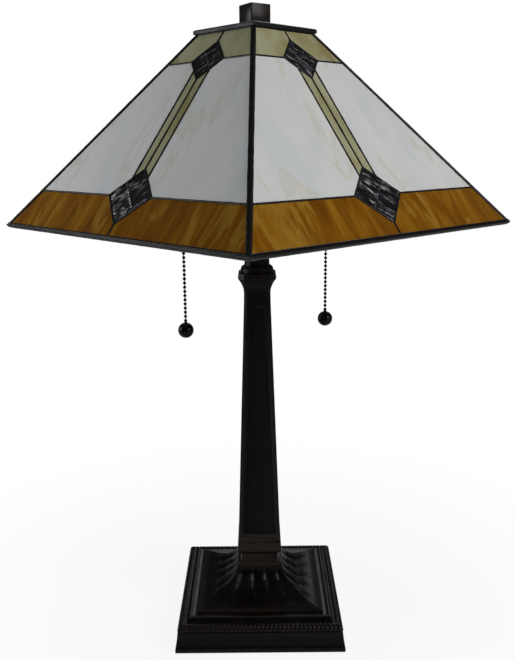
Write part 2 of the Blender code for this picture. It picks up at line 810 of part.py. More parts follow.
def chain_outline(top_bead_z, beads, tail):
    """A string of beads on the local Z axis, from its top link to the start of its tail."""
    link_angle = math.degrees(math.asin(LINK_R / BEAD_R))
    top = top_bead_z + BEAD_PITCH / 2.0
    outline = [(0.0, top), (LINK_R, top)]
    for index in range(beads):
        centre = (0.0, top_bead_z - index * BEAD_PITCH)
        outline += arc_points(centre, BEAD_R, 90.0 - link_angle, link_angle - 90.0, 3)
    return outline + tail


def build_light(side, azimuth, materials):
    """A socket with its pull switch spout, the bulb in it, and its chain in two pieces."""
    foot = (SOCKET_FOOT_R * math.cos(azimuth), SOCKET_FOOT_R * math.sin(azimuth), SOCKET_FOOT_Z)
    tilt = math.radians(90.0) - SOCKET_RISE
    axis = add_axis(f"{side}_socket_axis", foot, (0.0, tilt, azimuth))
    socket_mesh = profile_mesh(f"{side}_socket", socket_outline())
    socket = add_part(f"{side}_socket", socket_mesh, materials["metal"], axis)
    add_screw(socket, ROUND_STEPS)
    bulb_mesh = profile_mesh(f"{side}_bulb", bulb_outline())
    bulb = add_part(f"{side}_bulb", bulb_mesh, materials["bulb"], axis)
    add_screw(bulb, ROUND_STEPS)
    build_spout(side, azimuth, socket, axis)

    hang = (SPOUT_RADIUS * math.cos(azimuth), SPOUT_RADIUS * math.sin(azimuth), 0.0)
    lead_top_z = CHAIN_TOP_BEAD_Z + LEAD_BEADS * BEAD_PITCH
    lead_end = CHAIN_TOP_BEAD_Z + BEAD_PITCH / 2.0 + GAP
    lead_tail = [(LINK_R, lead_end), (0.0, lead_end)]
    lead = chain_outline(lead_top_z, LEAD_BEADS, lead_tail)
    ball_angle = math.degrees(math.acos(LINK_R / BALL_R))
    ball_tail = arc_points((0.0, BALL_Z), BALL_R, ball_angle, -90.0, 9)
    chain = chain_outline(CHAIN_TOP_BEAD_Z, CHAIN_BEADS, ball_tail)
    hanging_parts = {f"{side}_chain_lead": lead, f"{side}_pull_chain": chain}
    for name, outline in hanging_parts.items():
        part = add_part(name, profile_mesh(name, outline), materials["chain"])
        part.location = hang
        add_screw(part, BEAD_STEPS)


def build_spout(side, azimuth, socket, axis):
    """The switch's side outlet: a stub across the socket and a tube that hangs straight down."""
    spout_z = SOCKET_FOOT_Z + SPOUT_S * math.sin(SOCKET_RISE)
    spout_r = SOCKET_FOOT_R + SPOUT_S * math.cos(SOCKET_RISE)
    stub_length = (SPOUT_RADIUS - spout_r) / math.sin(SOCKET_RISE)
    stub_mesh = cylinder_mesh(f"{side}_spout_stub", SPOUT_STUB_R, 0.0, stub_length, 16)
    stub = add_cutter(f"{side}_spout_stub", stub_mesh, axis)
    stub.location = (0.0, 0.0, SPOUT_S)
    stub.rotation_euler.y = math.radians(90.0)
    add_boolean(socket, stub, "UNION")
    drop_z = spout_z - stub_length * math.cos(SOCKET_RISE)
    assert SPOUT_TUBE_LOW_Z < drop_z < SPOUT_TUBE_HIGH_Z
    tube_mesh = cylinder_mesh(f"{side}_spout_tube", SPOUT_TUBE_R, SPOUT_TUBE_LOW_Z, SPOUT_TUBE_HIGH_Z, 16)
    tube = add_cutter(f"{side}_spout_tube", tube_mesh)
    bore_low_z = SPOUT_TUBE_LOW_Z - THROUGH
    bore_mesh = cylinder_mesh(f"{side}_spout_bore", SPOUT_BORE_R, bore_low_z, SPOUT_BORE_TOP_Z, 16)
    bore = add_cutter(f"{side}_spout_bore", bore_mesh)
    for cutter in (tube, bore):
        cutter.location = (SPOUT_RADIUS * math.cos(azimuth), SPOUT_RADIUS * math.sin(azimuth), 0.0)
    add_boolean(socket, tube, "UNION")
    add_boolean(socket, bore, "DIFFERENCE")


# ---------------------------------------------------------------- cord and plug

def cord_path():
    """Down the tube, out at the back, and folded to and fro behind the base."""
    low_rows = [STRAND_FIRST_Y + STRAND_PITCH * i for i in range(4)]
    high_rows = [STRAND_FIRST_Y + STRAND_PITCH * (i + 0.5) for i in (1, 0)]
    points = [
        (0.0, 0.0, CORD_TOP_Z),
        (0.0, 0.0, 0.0260),
        (0.0, 0.0300, CORD_EXIT_Z),
        (0.0, STRAND_FIRST_Y - 0.0030, CORD_EXIT_Z),
        (0.0120, STRAND_FIRST_Y, STRAND_LOW_Z),
    ]
    ends = (STRAND_RIGHT_X, STRAND_LEFT_X)
    for index, y in enumerate(low_rows):
        if index > 0:
            points.append((ends[(index + 1) % 2], y, STRAND_LOW_Z))
        if index < 3:
            points.append((ends[index % 2], y, STRAND_LOW_Z))
    points.append((STRAND_LEFT_X + 0.0120, low_rows[3], STRAND_LOW_Z))
    points.append((STRAND_LEFT_X, low_rows[3] - 0.0010, STRAND_HIGH_Z - 0.0010))
    points.append((STRAND_LEFT_X - 0.0010, high_rows[0], STRAND_HIGH_Z))
    points.append((STRAND_RIGHT_X, high_rows[0], STRAND_HIGH_Z))
    points.append((STRAND_RIGHT_X, high_rows[1], STRAND_HIGH_Z))
    plug_face_x = PLUG_X + PLUG_LENGTH / 2.0 + GAP
    points.append((plug_face_x + 0.0120, high_rows[1], STRAND_HIGH_Z))
    points.append((plug_face_x + 0.0060, high_rows[1], PLUG_Z))
    points.append((plug_face_x, high_rows[1], PLUG_Z))
    return filleted(points, CORD_BEND_R, CORD_BEND_STEPS)


def build_cord(rubber):
    add_part("power_cord", tube_curve("power_cord", cord_path(), CORD_R), rubber)


def build_plug(rubber):
    y = STRAND_FIRST_Y + STRAND_PITCH * 0.5
    body = box_mesh("power_plug", (PLUG_LENGTH, PLUG_WIDTH, PLUG_HEIGHT), edge=0.0018)
    plug = add_part("power_plug", body, rubber)
    plug.location = (PLUG_X, y, PLUG_Z)
    for index, side in enumerate((-1.0, 1.0)):
        start = -PLUG_LENGTH / 2.0 + 0.0040
        centre = (start - BLADE_LENGTH / 2.0, side * BLADE_SPACING / 2.0, 0.0)
        size = (BLADE_LENGTH, BLADE_WIDTH, BLADE_HEIGHT)
        blade = add_cutter(f"plug_blade_{index}", box_mesh(f"plug_blade_{index}", size, centre))
        blade.location = plug.location
        add_boolean(plug, blade, "UNION")


# ---------------------------------------------------------------- the lamp

clear_scene()
PARTS = new_collection(OBJECT_NAME)
CUTTERS = new_collection(OBJECT_NAME + "_cutters")


def build_lamp():
    bronze = new_material("bronze", (0.030, 0.022, 0.018), 0.42, 0.75)
    came_metal = new_material("came", (0.018, 0.018, 0.018), 0.45, 0.70)
    steel = new_material("steel", (0.55, 0.53, 0.50), 0.35, 1.0)
    felt = new_material("felt", (0.030, 0.030, 0.030), 0.95)
    rubber = new_material("rubber", (0.035, 0.022, 0.016), 0.55)
    glass = {
        "top": new_material("pale_glass", (0.62, 0.62, 0.44), 0.12, 0.0, 0.9),
        "white": new_material("white_glass", (0.80, 0.80, 0.78), 0.10, 0.0, 0.9),
        "strip": new_material("pale_strip_glass", (0.62, 0.62, 0.44), 0.12, 0.0, 0.9),
        "amber": new_material("amber_glass", (0.55, 0.25, 0.05), 0.10, 0.0, 0.9),
        "diamond": new_material("dark_glass", (0.020, 0.020, 0.022), 0.18),
    }
    lights = {
        "metal": bronze,
        "bulb": new_material("bulb_glass", (0.90, 0.90, 0.88), 0.25),
        "chain": new_material("chain", (0.030, 0.024, 0.020), 0.35, 0.85),
    }

    shade_axis = add_axis("shade_axis", rotation=(0.0, 0.0, SHADE_TURN))
    build_panes(shade_axis, glass)
    build_came(shade_axis, came_metal)
    build_cap(shade_axis, bronze)
    build_finial(bronze)
    build_stem(bronze)
    build_column(bronze)
    build_base(bronze)
    build_pad(felt)
    build_rod(steel)
    build_nut(steel)
    build_cluster(bronze)
    build_light("right", SOCKET_AZIMUTH, lights)
    build_light("left", SOCKET_AZIMUTH + math.pi, lights)
    build_cord(rubber)
    build_plug(rubber)


build_lamp()
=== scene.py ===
"""The looks of a two-light table lamp with a square pyramid stained glass shade."""
import json
import math

import bmesh
import bpy
import numpy as np
from mathutils import Matrix, Vector, noise


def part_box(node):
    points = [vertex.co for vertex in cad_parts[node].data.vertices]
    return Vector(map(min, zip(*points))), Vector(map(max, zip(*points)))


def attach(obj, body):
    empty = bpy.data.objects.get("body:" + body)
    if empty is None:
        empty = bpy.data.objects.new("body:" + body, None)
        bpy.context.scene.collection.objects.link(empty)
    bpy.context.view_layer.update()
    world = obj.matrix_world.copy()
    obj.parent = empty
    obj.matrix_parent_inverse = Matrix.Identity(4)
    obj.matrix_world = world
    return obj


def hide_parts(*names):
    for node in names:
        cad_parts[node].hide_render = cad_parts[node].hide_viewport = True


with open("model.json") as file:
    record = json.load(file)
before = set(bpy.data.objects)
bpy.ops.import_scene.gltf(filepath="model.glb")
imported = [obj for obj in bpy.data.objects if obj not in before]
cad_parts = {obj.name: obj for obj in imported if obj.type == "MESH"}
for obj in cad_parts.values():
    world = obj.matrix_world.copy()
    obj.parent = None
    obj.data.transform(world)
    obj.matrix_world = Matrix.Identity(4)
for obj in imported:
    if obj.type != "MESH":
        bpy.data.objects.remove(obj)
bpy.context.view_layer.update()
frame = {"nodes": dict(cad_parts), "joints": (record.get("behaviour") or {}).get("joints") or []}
JOINTS = {joint["name"]: joint for joint in frame["joints"]}

# Finishing
TINY = 1e-7
WELD = 0.00002
FLAT_ANGLE = math.radians(0.5)
BEVEL_ANGLE = math.radians(28.0)
BEVEL_SEGMENTS = 3
BEVEL_SHARP = math.radians(40.0)
CAST_SHARP = math.radians(50.0)
THREAD_SHARP = math.radians(60.0)

# Materials. A noise is (scale, stretch, detail, distortion), a bump (strength, distance in metres),
# a stain (colour, strength), and a ramp's stop (position, colour or value).
EVEN = (1.0, 1.0, 1.0)
GLASS_IOR = 1.52
GLASS_SPECULAR = 0.22
GLASSES = {
    "white": {
        "name": "white_glass",
        "stops": [(0.25, (0.69, 0.70, 0.70)), (0.5, (0.74, 0.74, 0.735)), (0.8, (0.77, 0.77, 0.76))],
        "streak": (1.0, 0.3, 1.0),
        "roughness": 0.12,
        "patch": ((0.62, 0.67, 0.71), 0.45),
        "wisp": ((0.60, 0.55, 0.42), 0.40),
    },
    "amber": {
        "name": "amber_glass",
        "stops": [
            (0.26, (0.12, 0.040, 0.0008)), (0.48, (0.205, 0.077, 0.0018)), (0.75, (0.34, 0.165, 0.010)),
        ],
        "streak": (3.2, 0.50, 1.0),
        "roughness": 0.10,
        "wisp": ((0.40, 0.22, 0.030), 0.50),
    },
    "pale": {
        "name": "pale_glass",
        "stops": [(0.25, (0.33, 0.33, 0.17)), (0.5, (0.41, 0.40, 0.25)), (0.8, (0.46, 0.44, 0.32))],
        "streak": (1.3, 0.5, 1.0),
        "roughness": 0.12,
        "patch": ((0.25, 0.20, 0.055), 0.75),
    },
}
STREAK_NOISE = {"scale": 26.0, "detail": 5.0, "distortion": 0.9}
PATCH_NOISE = (20.0, (1.0, 0.55, 1.0), 3.0, 1.2)
PATCH_MASK = [(0.50, (0.0,)), (0.66, (1.0,))]
WISP_NOISE = (17.0, (1.0, 0.30, 1.0), 6.0, 2.2)
WISP_MASK = [(0.565, (0.0,)), (0.59, (1.0,)), (0.60, (1.0,)), (0.66, (0.0,))]
GLOSS_NOISE = (60.0, EVEN, 2.0, 0.0)
GLOSS_SPREAD = 0.1
GLOSS_SPAN = (0.3, 0.7)
SKIN_NOISE = (160.0, (1.0, 0.5, 1.0), 2.0, 0.4)
SKIN_BUMP = (0.12, 0.0006)
DARK_IOR = 1.55
# Dark glass colours: near black, up to a painted violet-grey highlight on the ripple crests
DARK_STOPS = [(0.10, (0.0022, 0.0022, 0.0028)), (0.45, (0.026, 0.024, 0.031)), (0.95, (0.19, 0.18, 0.20))]
GLINT_NOISE = (240.0, EVEN, 4.0, 0.5)
GLINT_STOPS = [(0.30, (0.35,)), (0.62, (1.3,))]
GLINT_GLOSS = (0.14, 0.30)
DARK_SKIN_NOISE = (420.0, EVEN, 3.0, 0.0)
DARK_SKIN_BUMP = (0.2, 0.0003)
# A metal's edge colour on convex edges is partly wear and partly a painted highlight
METALS = {
    "solder": {
        "name": "blackened_solder",
        "dark": (0.0024, 0.0025, 0.0024),
        "roughness": 0.34,
        "metallic": 0.10,
        "grain": 0.5,
        "wear_and_highlight": ((0.05, 0.05, 0.05), 0.20),
    },
    "bronze": {
        "name": "bronze_patina",
        "dark": (0.0022, 0.0016, 0.0013),
        "roughness": 0.30,
        "metallic": 0.10,
        "grain": 0.3,
        "wear_and_highlight": ((0.075, 0.057, 0.047), 0.25),
    },
    "steel": {
        "name": "zinc_plate",
        "dark": (0.42, 0.41, 0.38),
        "roughness": 0.34,
        "metallic": 1.0,
        "grain": 0.2,
        "specular": 0.5,
    },
    "chain": {
        "name": "chain_metal",
        "dark": (0.0040, 0.0032, 0.0028),
        "roughness": 0.26,
        "metallic": 0.20,
        "grain": 0.1,
    },
}
PATINA_SPECULAR = 0.14
MOTTLE_NOISE = (55.0, EVEN, 5.0, 0.6)
MOTTLE_SPAN = (0.3, 0.75)
MOTTLE_GAIN = 1.9
MOTTLE_GLOSS = (-0.08, 0.12)
MOTTLE_GLOSS_SPAN = (0.25, 0.8)
# Pointiness over which convex edges take the wear colour and painted highlight
WEAR_HIGHLIGHT_FROM, WEAR_HIGHLIGHT_TO = 0.505, 0.56
GRAIN_NOISE = (900.0, EVEN, 3.0)
GRAIN_DEPTH = 0.0002
SOFT_SPAN = (0.3, 0.7)
SOFT = {
    "bulb": {
        "name": "frosted_bulb",
        "mottle": (700.0, EVEN, 2.0),
        "colours": ((0.82, 0.82, 0.80), (0.90, 0.90, 0.88)),
        "gloss": (0.30, 0.42),
        "IOR": 1.5,
    },
    "felt": {
        "name": "felt",
        "mottle": (1600.0, EVEN, 6.0, 2.0),
        "colours": ((0.010, 0.010, 0.010), (0.045, 0.045, 0.045)),
        "bump": (0.8, 0.0006),
        "Roughness": 0.95,
        "Sheen_Weight": 0.4,
    },
    "vinyl": {
        "name": "cord_vinyl",
        "mottle": (500.0, EVEN, 2.0),
        "colours": ((0.022, 0.013, 0.009), (0.034, 0.021, 0.015)),
        "gloss": (0.38, 0.52),
        "bump": (0.2, 0.0002),
    },
}

# Shade
KINDS = {"top": "pale", "strip": "pale", "white": "white", "amber": "amber"}
KINDS.update({"upper": "dark", "lower": "dark"})
SEED_START = 10.0
SEED_STEP = 3.7
PANE_TUCK = 0.0008
RIM_OVERLAP = 0.0022
PANE_CELL = 0.0040
DIAMOND_CELL = 0.0007
GLASS_WAVE = 0.00010
WAVE_BROAD = (28.0, 18.0)
WAVE_FINE = (90.0, 60.0)
WAVE_FINE_SHARE = 0.35
WAVE_FINE_LAYER = 7.0
RIPPLE_HEIGHT = 0.00060
RIPPLE_PITCH = 0.0034
RIPPLE_COARSE = (1.1, 0.22, 1.7)
RIPPLE_FINE = (0.8, 0.45, 3.4)
RIPPLE_FINE_LAYER = 11.0
RIPPLE_QUARTERS = (3.0, 5.0)
# Weight of the painted highlight on the ripple crests
RIPPLE_HIGHLIGHT = 1.5
WARP_SIZE = 0.10
WARP_SCALE = 2.0
WARP_LAYER = 20.0
RIDGE_HALF = 0.0011
RIDGE_RISE = 0.9
RIDGE_FAINT = 0.6
# Weight of the painted highlight on the ridges
RIDGE_HIGHLIGHT = 0.7
LEVEL_REACH = 0.0008
CAME_HALF = 0.00105
SOLDER_HIGH = 0.0004
SOLDER_DEEP = 0.0038
SOLDER_STEP = 0.0022
SOLDER_SIDES = 12
SOLDER_SQUARE = 0.85
SOLDER_SWELL = ((0.14, 150.0), (0.07, 420.0))
SOLDER_SWELL_OUT = 0.4
SOLDER_LIFT = (0.00012, 260.0)
SOLDER_LIFT_SHIFT = Vector((5.0, 0.0, 0.0))
JOINT_GROWTH = 1.35
JOINT_HIGH = SOLDER_HIGH + 0.0001
JOINT_SIDES = 20
JOINT_RINGS = 12
HIP_HALF = 0.0024
HIP_SINK = 0.0019
HIP_STOP = 0.012
HIP_LUMPS = 0.5
CROWN_TUCK = 0.0020
RIM_PROUD = 0.0009
RIM_THICK = 0.0052
RIM_FOOT = 0.0012
RIM_FOOT_STEPS = 8
RIM_STEPS = 150
RIM_LUMP = (0.00010, 190.0)
RIM_FACE = [(0.0016, 0.0), (0.0019, -0.0004), (0.0022, -0.0005), (0.0025, -0.0003), (0.0028, 0.0)]
RIM_FACE += [(0.0035, -0.0001), (0.0039, -0.0005), (0.0042, -0.0015)]

# Pattern of one shade face: the top, middle and bottom of each diamond as shares of the slope from
# the crown, and its half width in metres.
UPPER_DIAMOND = (0.0534, 0.150, 0.2465, 0.0213)
LOWER_DIAMOND = (0.6785, 0.804, 0.932, 0.0300)
STRIP_HALF = 0.0105

# Base. Its section is square: the tables give (half width, height) points, the lip's two points are at
# the top, and those of the skirt and the foot are (distance inside the widest edge, height or rise over
# the bottom).
BASE_HOLE_HALF = 0.0080
BASE_LIP = (0.0200, 0.0228)
BASE_RISE = ((0.0231, 0.0570), (0.0250, 0.0525), (0.0285, 0.0480), (0.0360, 0.0424), (0.0470, 0.0375))
BASE_RISE_STEPS = 6
BASE_LEDGE = (
    (0.0470, 0.0375), (0.0540, 0.0353), (0.0620, 0.0334), (0.0626, 0.0326), (0.0632, 0.0315),
    (0.0672, 0.0311), (0.0678, 0.0316), (0.0684, 0.0322), (0.0694, 0.0322), (0.0700, 0.0315),
    (0.0704, 0.0300), (0.0712, 0.0286), (0.0722, 0.0276), (0.0730, 0.0270),
)
BASE_SIDE = (
    (0.0800, 0.0222), (0.0803, 0.0218), (0.0809, 0.0216), (0.0812, 0.0210), (0.0818, 0.0140),
    (0.0823, 0.0066), (0.0827, 0.0060),
)
BASE_SKIRT = ((0.0003, 0.0058), (0.0, 0.0054), (0.0, 0.0040))
BASE_FOOT = ((0.0, 0.0008), (0.0003, 0.0002), (0.0009, 0.0))
BASE_RECESS_HALF = 0.0804
BASE_UNDER = (
    (0.0802, 0.0018), (0.0765, 0.0018), (0.0765, 0.0100), (0.0765, 0.0180), (0.0700, 0.0230),
    (0.0580, 0.0272), (0.0470, 0.0310), (0.0330, 0.0370), (0.0210, 0.0455), (0.0160, 0.0500),
    (BASE_HOLE_HALF, 0.0500),
)
FLUTE_TOP_HALF = 0.0231
FLUTE_FOOT_HALF = 0.0465
FLUTE_TOP_PITCH = 0.0126
FLUTE_FOOT_PITCH = 0.0184
FLUTE_DEPTH = 0.0016
FLUTE_END = 0.0040
FLUTE_FADE = 0.0020
FLUTE_LOW = 0.0360
FLUTE_MARGIN = 0.0002
FLUTE_ROUND = 0.55
ROPE_CENTRE = (0.0768, 0.0240)
ROPE_R = 0.0042
ROPE_ARC = (132.0, -22.0)
ROPE_ARC_STEPS = 13
ROPE_STRANDS = 38
ROPE_DEPTH = 0.0007
ROPE_TWIST = 0.9
ROPE_FADE = 2.2
LIFT_MEAN = 0.55
BASE_STEPS = 260

# Capital: the height of its widest edge, and each ridge's half width and rise above it
CAPITAL_TOP = 0.3617
CAPITAL_RIDGES = ((0.01835, 0.0003), (0.01813, 0.0017), (0.01795, 0.0031))
CAPITAL_CORNER = 0.0055
RIDGE_R = 0.0003
RIDGE_SIDES = 8

# Chains
BEAD_R = 0.0016
BEAD_PITCH = 0.00405
BEAD_STEPS = 12
CHAIN_SIDES = 24
LINK_R = 0.00045
BALL_R = 0.0075
BALL_ARC = (76.0, -90.0)
BALL_STEPS = 40
NECK_START = 0.0010
NECK = ((LINK_R, 0.0022), (0.0011, 0.0016), (0.0014, 0.0))

# Bulbs: a neck is (radius, height over the cap's top), a foot (radius, height over the bulb's foot)
BULB_CAP_LENGTH = 0.0254
BULB_ARC = (90.0, -44.0)
BULB_STEPS = 30
BULB_SIDES = 64
BULB_NECK = ((0.0152, 0.0110), (0.0138, 0.0050), (0.0131, 0.0005), (0.0129, -0.0010), (0.0, -0.0010))
BULB_CAP_HEAD = ((0.0, -0.0014), (0.0130, -0.0014))
BULB_CAP_FOOT = ((0.0118, 0.0045), (0.0062, 0.0016), (0.0045, 0.0004), (0.0, 0.0))
BULB_CAP_SIDES = 48
BULB_THREADS = 5
THREAD_STEPS = 8
THREAD_R = 0.0126
THREAD_DEPTH = 0.0005
THREAD_TOP = 0.0020
THREAD_FOOT = 0.0060

# Pieces that keep the CAD's shape: node, body, material, slot, width of the softened edge
HARDWARE = (
    ("left_socket", "stand", "bronze", "bronze", 0.0005),
    ("right_socket", "stand", "bronze", "bronze", 0.0005),
    ("cluster_body", "stand", "bronze", "bronze", 0.0004),
    ("centre_stem", "stand", "bronze", "bronze", 0.0004),
    ("base_rod", "stand", "steel", "steel", 0.0003),
    ("base_nut", "stand", "steel", "steel", 0.0004),
    ("column", "stand", "bronze", "bronze", 0.0004),
    ("shade_cap", "shade", "solder", "bronze", 0.0006),
    ("finial", "finial", "bronze", "bronze", 0.0003),
    ("felt_pad", "stand", "felt", "felt", 0.0004),
    ("power_plug", "stand", "vinyl", "cord", 0.0006),
)

# Stage
FLOOR_R = 6.0
FLOOR_SIDES = 96
FLOOR_GREY = 0.90
FLOOR_ROUGHNESS = 0.9
FLOOR_SPECULAR = 0.1
FLOOR_FADE = (0.10, 0.55)
FLOOR_GLOW = 0.88
SKY_COLOUR = (0.95, 0.97, 1.0, 1.0)
SKY_STRENGTH = 0.06
LIGHT_TARGET = (0.0, 0.0, 0.4)
LIGHTS = (
    ("key", (1.20, -0.85, 1.10), 0.9, 15.8, (1.0, 0.995, 0.985)),
    ("fill", (-0.92, -0.05, 0.55), 0.5, 4.2, (0.96, 0.985, 1.0)),
    ("back", (0.4, 1.8, 1.5), 1.2, 10.0, (1.0, 1.0, 1.0)),
)

# Camera
CAMERA_DISTANCE = 0.7587
CAMERA_HEIGHT = 0.4854
CAMERA_YAW = -0.0007
CAMERA_PITCH = 0.2310
CAMERA_ROLL = 0.0091
CAMERA_LENS = 42.71


# ------------------------------------------------------------ pieces

def new_piece(name, mesh, body, material, replaced=(), place=None):
    piece = bpy.data.objects.new(name, mesh)
    bpy.context.scene.collection.objects.link(piece)
    mesh.materials.clear()
    mesh.materials.append(material)
    if place is not None:
        piece.matrix_world = place
    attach(piece, body)
    if replaced:
        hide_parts(*replaced)
    return piece


def mesh_of(bm, name, smooth=True):
    mesh = bpy.data.meshes.new(name)
    bmesh.ops.recalc_face_normals(bm, faces=bm.faces[:])
    bm.to_mesh(mesh)
    bm.free()
    if smooth:
        mesh.shade_smooth()
    return mesh


def node_points(name):
    return np.array([v.co for v in frame["nodes"][name].data.vertices], float)


def cad_copy(name):
    """A welded copy of a CAD node, its flat areas merged into single faces."""
    bm = bmesh.new()
    bm.from_mesh(frame["nodes"][name].data)
    bmesh.ops.remove_doubles(bm, verts=bm.verts[:], dist=WELD)
    bmesh.ops.dissolve_limit(bm, angle_limit=FLAT_ANGLE, verts=bm.verts[:], edges=bm.edges[:])
    return bm


def refined(name, body, material, edge):
    """A CAD node's shape with softened edges."""
    mesh = mesh_of(cad_copy(name), name + "_finish")
    piece = new_piece(mesh.name, mesh, body, material, (name,))
    bevel = piece.modifiers.new("Bevel", "BEVEL")
    bevel.width = edge
    bevel.segments = BEVEL_SEGMENTS
    bevel.limit_method = "ANGLE"
    bevel.angle_limit = BEVEL_ANGLE
    bevel.harden_normals = True
    mesh.set_sharp_from_angle(angle=BEVEL_SHARP)


def lathe(profile, steps):
    """A closed turned mesh on the local Z axis from (radius, height) points, axis to axis."""
    bm = bmesh.new()
    rings = []
    for radius, height in profile:
        if radius < TINY:
            rings.append([bm.verts.new((0.0, 0.0, height))])
            continue
        ring = []
        for step in range(steps):
            angle = 2.0 * math.pi * step / steps
            ring.append(bm.verts.new((radius * math.cos(angle), radius * math.sin(angle), height)))
        rings.append(ring)
    for upper, lower in zip(rings, rings[1:]):
        for step in range(steps):
            after = (step + 1) % steps
            corners = [upper[step % len(upper)], upper[after % len(upper)]]
            corners += [lower[after % len(lower)], lower[step % len(lower)]]
            corners = list(dict.fromkeys(corners))
            if len(corners) > 2:
                bm.faces.new(corners)
    return bm


def arc(centre, radius, start, end, steps):
    points = []
    for step in range(steps + 1):
        angle = math.radians(start + (end - start) * step / steps)
        points.append((centre[0] + radius * math.cos(angle), centre[1] + radius * math.sin(angle)))
    return points


def smoothstep(low, high, value):
    t = min(1.0, max(0.0, (value - low) / (high - low)))
    return t * t * (3.0 - 2.0 * t)


# ------------------------------------------------------------ materials

def plug(tree, value, socket):
    if isinstance(value, bpy.types.NodeSocket):
        tree.links.new(value, socket)
    else:
        socket.default_value = value


def add_node(tree, kind, settings=None, **inputs):
    made = tree.nodes.new(kind)
    for key, value in (settings or {}).items():
        setattr(made, key, value)
    for key, value in inputs.items():
        plug(tree, value, made.inputs[key.replace("_", " ")])
    return made


def new_material(name, metallic=0.0, **inputs):
    material = bpy.data.materials.new(name)
    material.use_nodes = True
    tree = material.node_tree
    shader = tree.nodes["Principled BSDF"]
    shader.inputs["Metallic"].default_value = metallic
    for key, value in inputs.items():
        plug(tree, value, shader.inputs[key.replace("_", " ")])
    return material, tree, shader


def ramp(tree, factor, stops):
    made = add_node(tree, "ShaderNodeValToRGB", None, Fac=factor)
    elements = made.color_ramp.elements
    stops = list(stops)
    while len(elements) < len(stops):
        elements.new(0.5)
    for element, (position, colour) in zip(elements, stops):
        element.position = position
        element.color = (*colour, 1.0) if len(colour) == 3 else (colour[0], colour[0], colour[0], 1.0)
    return made.outputs["Color"]


def object_noise(tree, scale, stretch=EVEN, detail=3.0, distortion=0.0, seeded=False):
    """Noise in the piece's own coordinates, in metres."""
    place = add_node(tree, "ShaderNodeTexCoord").outputs["Object"]
    mapped = add_node(tree, "ShaderNodeMapping", None, Vector=place, Scale=stretch).outputs["Vector"]
    settings = {"noise_dimensions": "4D" if seeded else "3D"}
    made = add_node(tree, "ShaderNodeTexNoise", settings, Vector=mapped, Scale=scale, Detail=detail)
    made.inputs["Distortion"].default_value = distortion
    if seeded:
        seed = add_node(tree, "ShaderNodeAttribute", {"attribute_name": "seed"}).outputs["Fac"]
        tree.links.new(seed, made.inputs["W"])
    return made.outputs["Fac"]


def add_bump(tree, shader, height, strength, distance):
    made = add_node(tree, "ShaderNodeBump", None, Height=height, Strength=strength, Distance=distance)
    tree.links.new(made.outputs["Normal"], shader.inputs["Normal"])


def add_gloss(tree, shader, mottle, low, high, span=GLOSS_SPAN):
    """Roughness that follows a noise from a low value to a high one."""
    tree.links.new(ramp(tree, mottle, [(span[0], (low,)), (span[1], (high,))]), shader.inputs["Roughness"])


def product(tree, first, second):
    made = add_node(tree, "ShaderNodeMath", {"operation": "MULTIPLY"})
    plug(tree, first, made.inputs[0])
    plug(tree, second, made.inputs[1])
    return made.outputs[0]


def stained(tree, colour, mask, stain, strength):
    """A colour mixed towards a stain where a mask is bright."""
    amount = product(tree, mask, strength)
    mixed = add_node(tree, "ShaderNodeMixRGB", None, Fac=amount, Color1=colour, Color2=(*stain, 1.0))
    return mixed.outputs["Color"]


def glass_material(name, stops, streak, roughness, patch=None, wisp=None):
    """Opalescent rolled glass: streaks up the slope, soft patches, thin wisps, and a wavy gloss."""
    material, tree, shader = new_material(name, IOR=GLASS_IOR, Specular_IOR_Level=GLASS_SPECULAR)
    colour = ramp(tree, object_noise(tree, stretch=streak, seeded=True, **STREAK_NOISE), stops)
    if patch is not None:
        cloud = object_noise(tree, *PATCH_NOISE, True)
        colour = stained(tree, colour, ramp(tree, cloud, PATCH_MASK), *patch)
    if wisp is not None:
        vein = object_noise(tree, *WISP_NOISE, True)
        colour = stained(tree, colour, ramp(tree, vein, WISP_MASK), *wisp)
    tree.links.new(colour, shader.inputs["Base Color"])
    add_gloss(tree, shader, object_noise(tree, *GLOSS_NOISE, True), roughness, roughness + GLOSS_SPREAD)
    add_bump(tree, shader, object_noise(tree, *SKIN_NOISE, True), *SKIN_BUMP)
    return material


def dark_glass():
    """Near-black rippled glass with a painted violet-grey highlight on its crests."""
    material, tree, shader = new_material("dark_glass", IOR=DARK_IOR)
    # Painted highlight: the crest attribute, broken up by the glint noise, lightens the colour towards
    # violet-grey
    crest_highlight = add_node(tree, "ShaderNodeAttribute", {"attribute_name": "crest_highlight"}).outputs["Fac"]
    glint = object_noise(tree, *GLINT_NOISE, True)
    amount = product(tree, crest_highlight, ramp(tree, glint, GLINT_STOPS))
    tree.links.new(ramp(tree, amount, DARK_STOPS), shader.inputs["Base Color"])
    add_gloss(tree, shader, glint, *GLINT_GLOSS)
    add_bump(tree, shader, object_noise(tree, *DARK_SKIN_NOISE, True), *DARK_SKIN_BUMP)
    return material


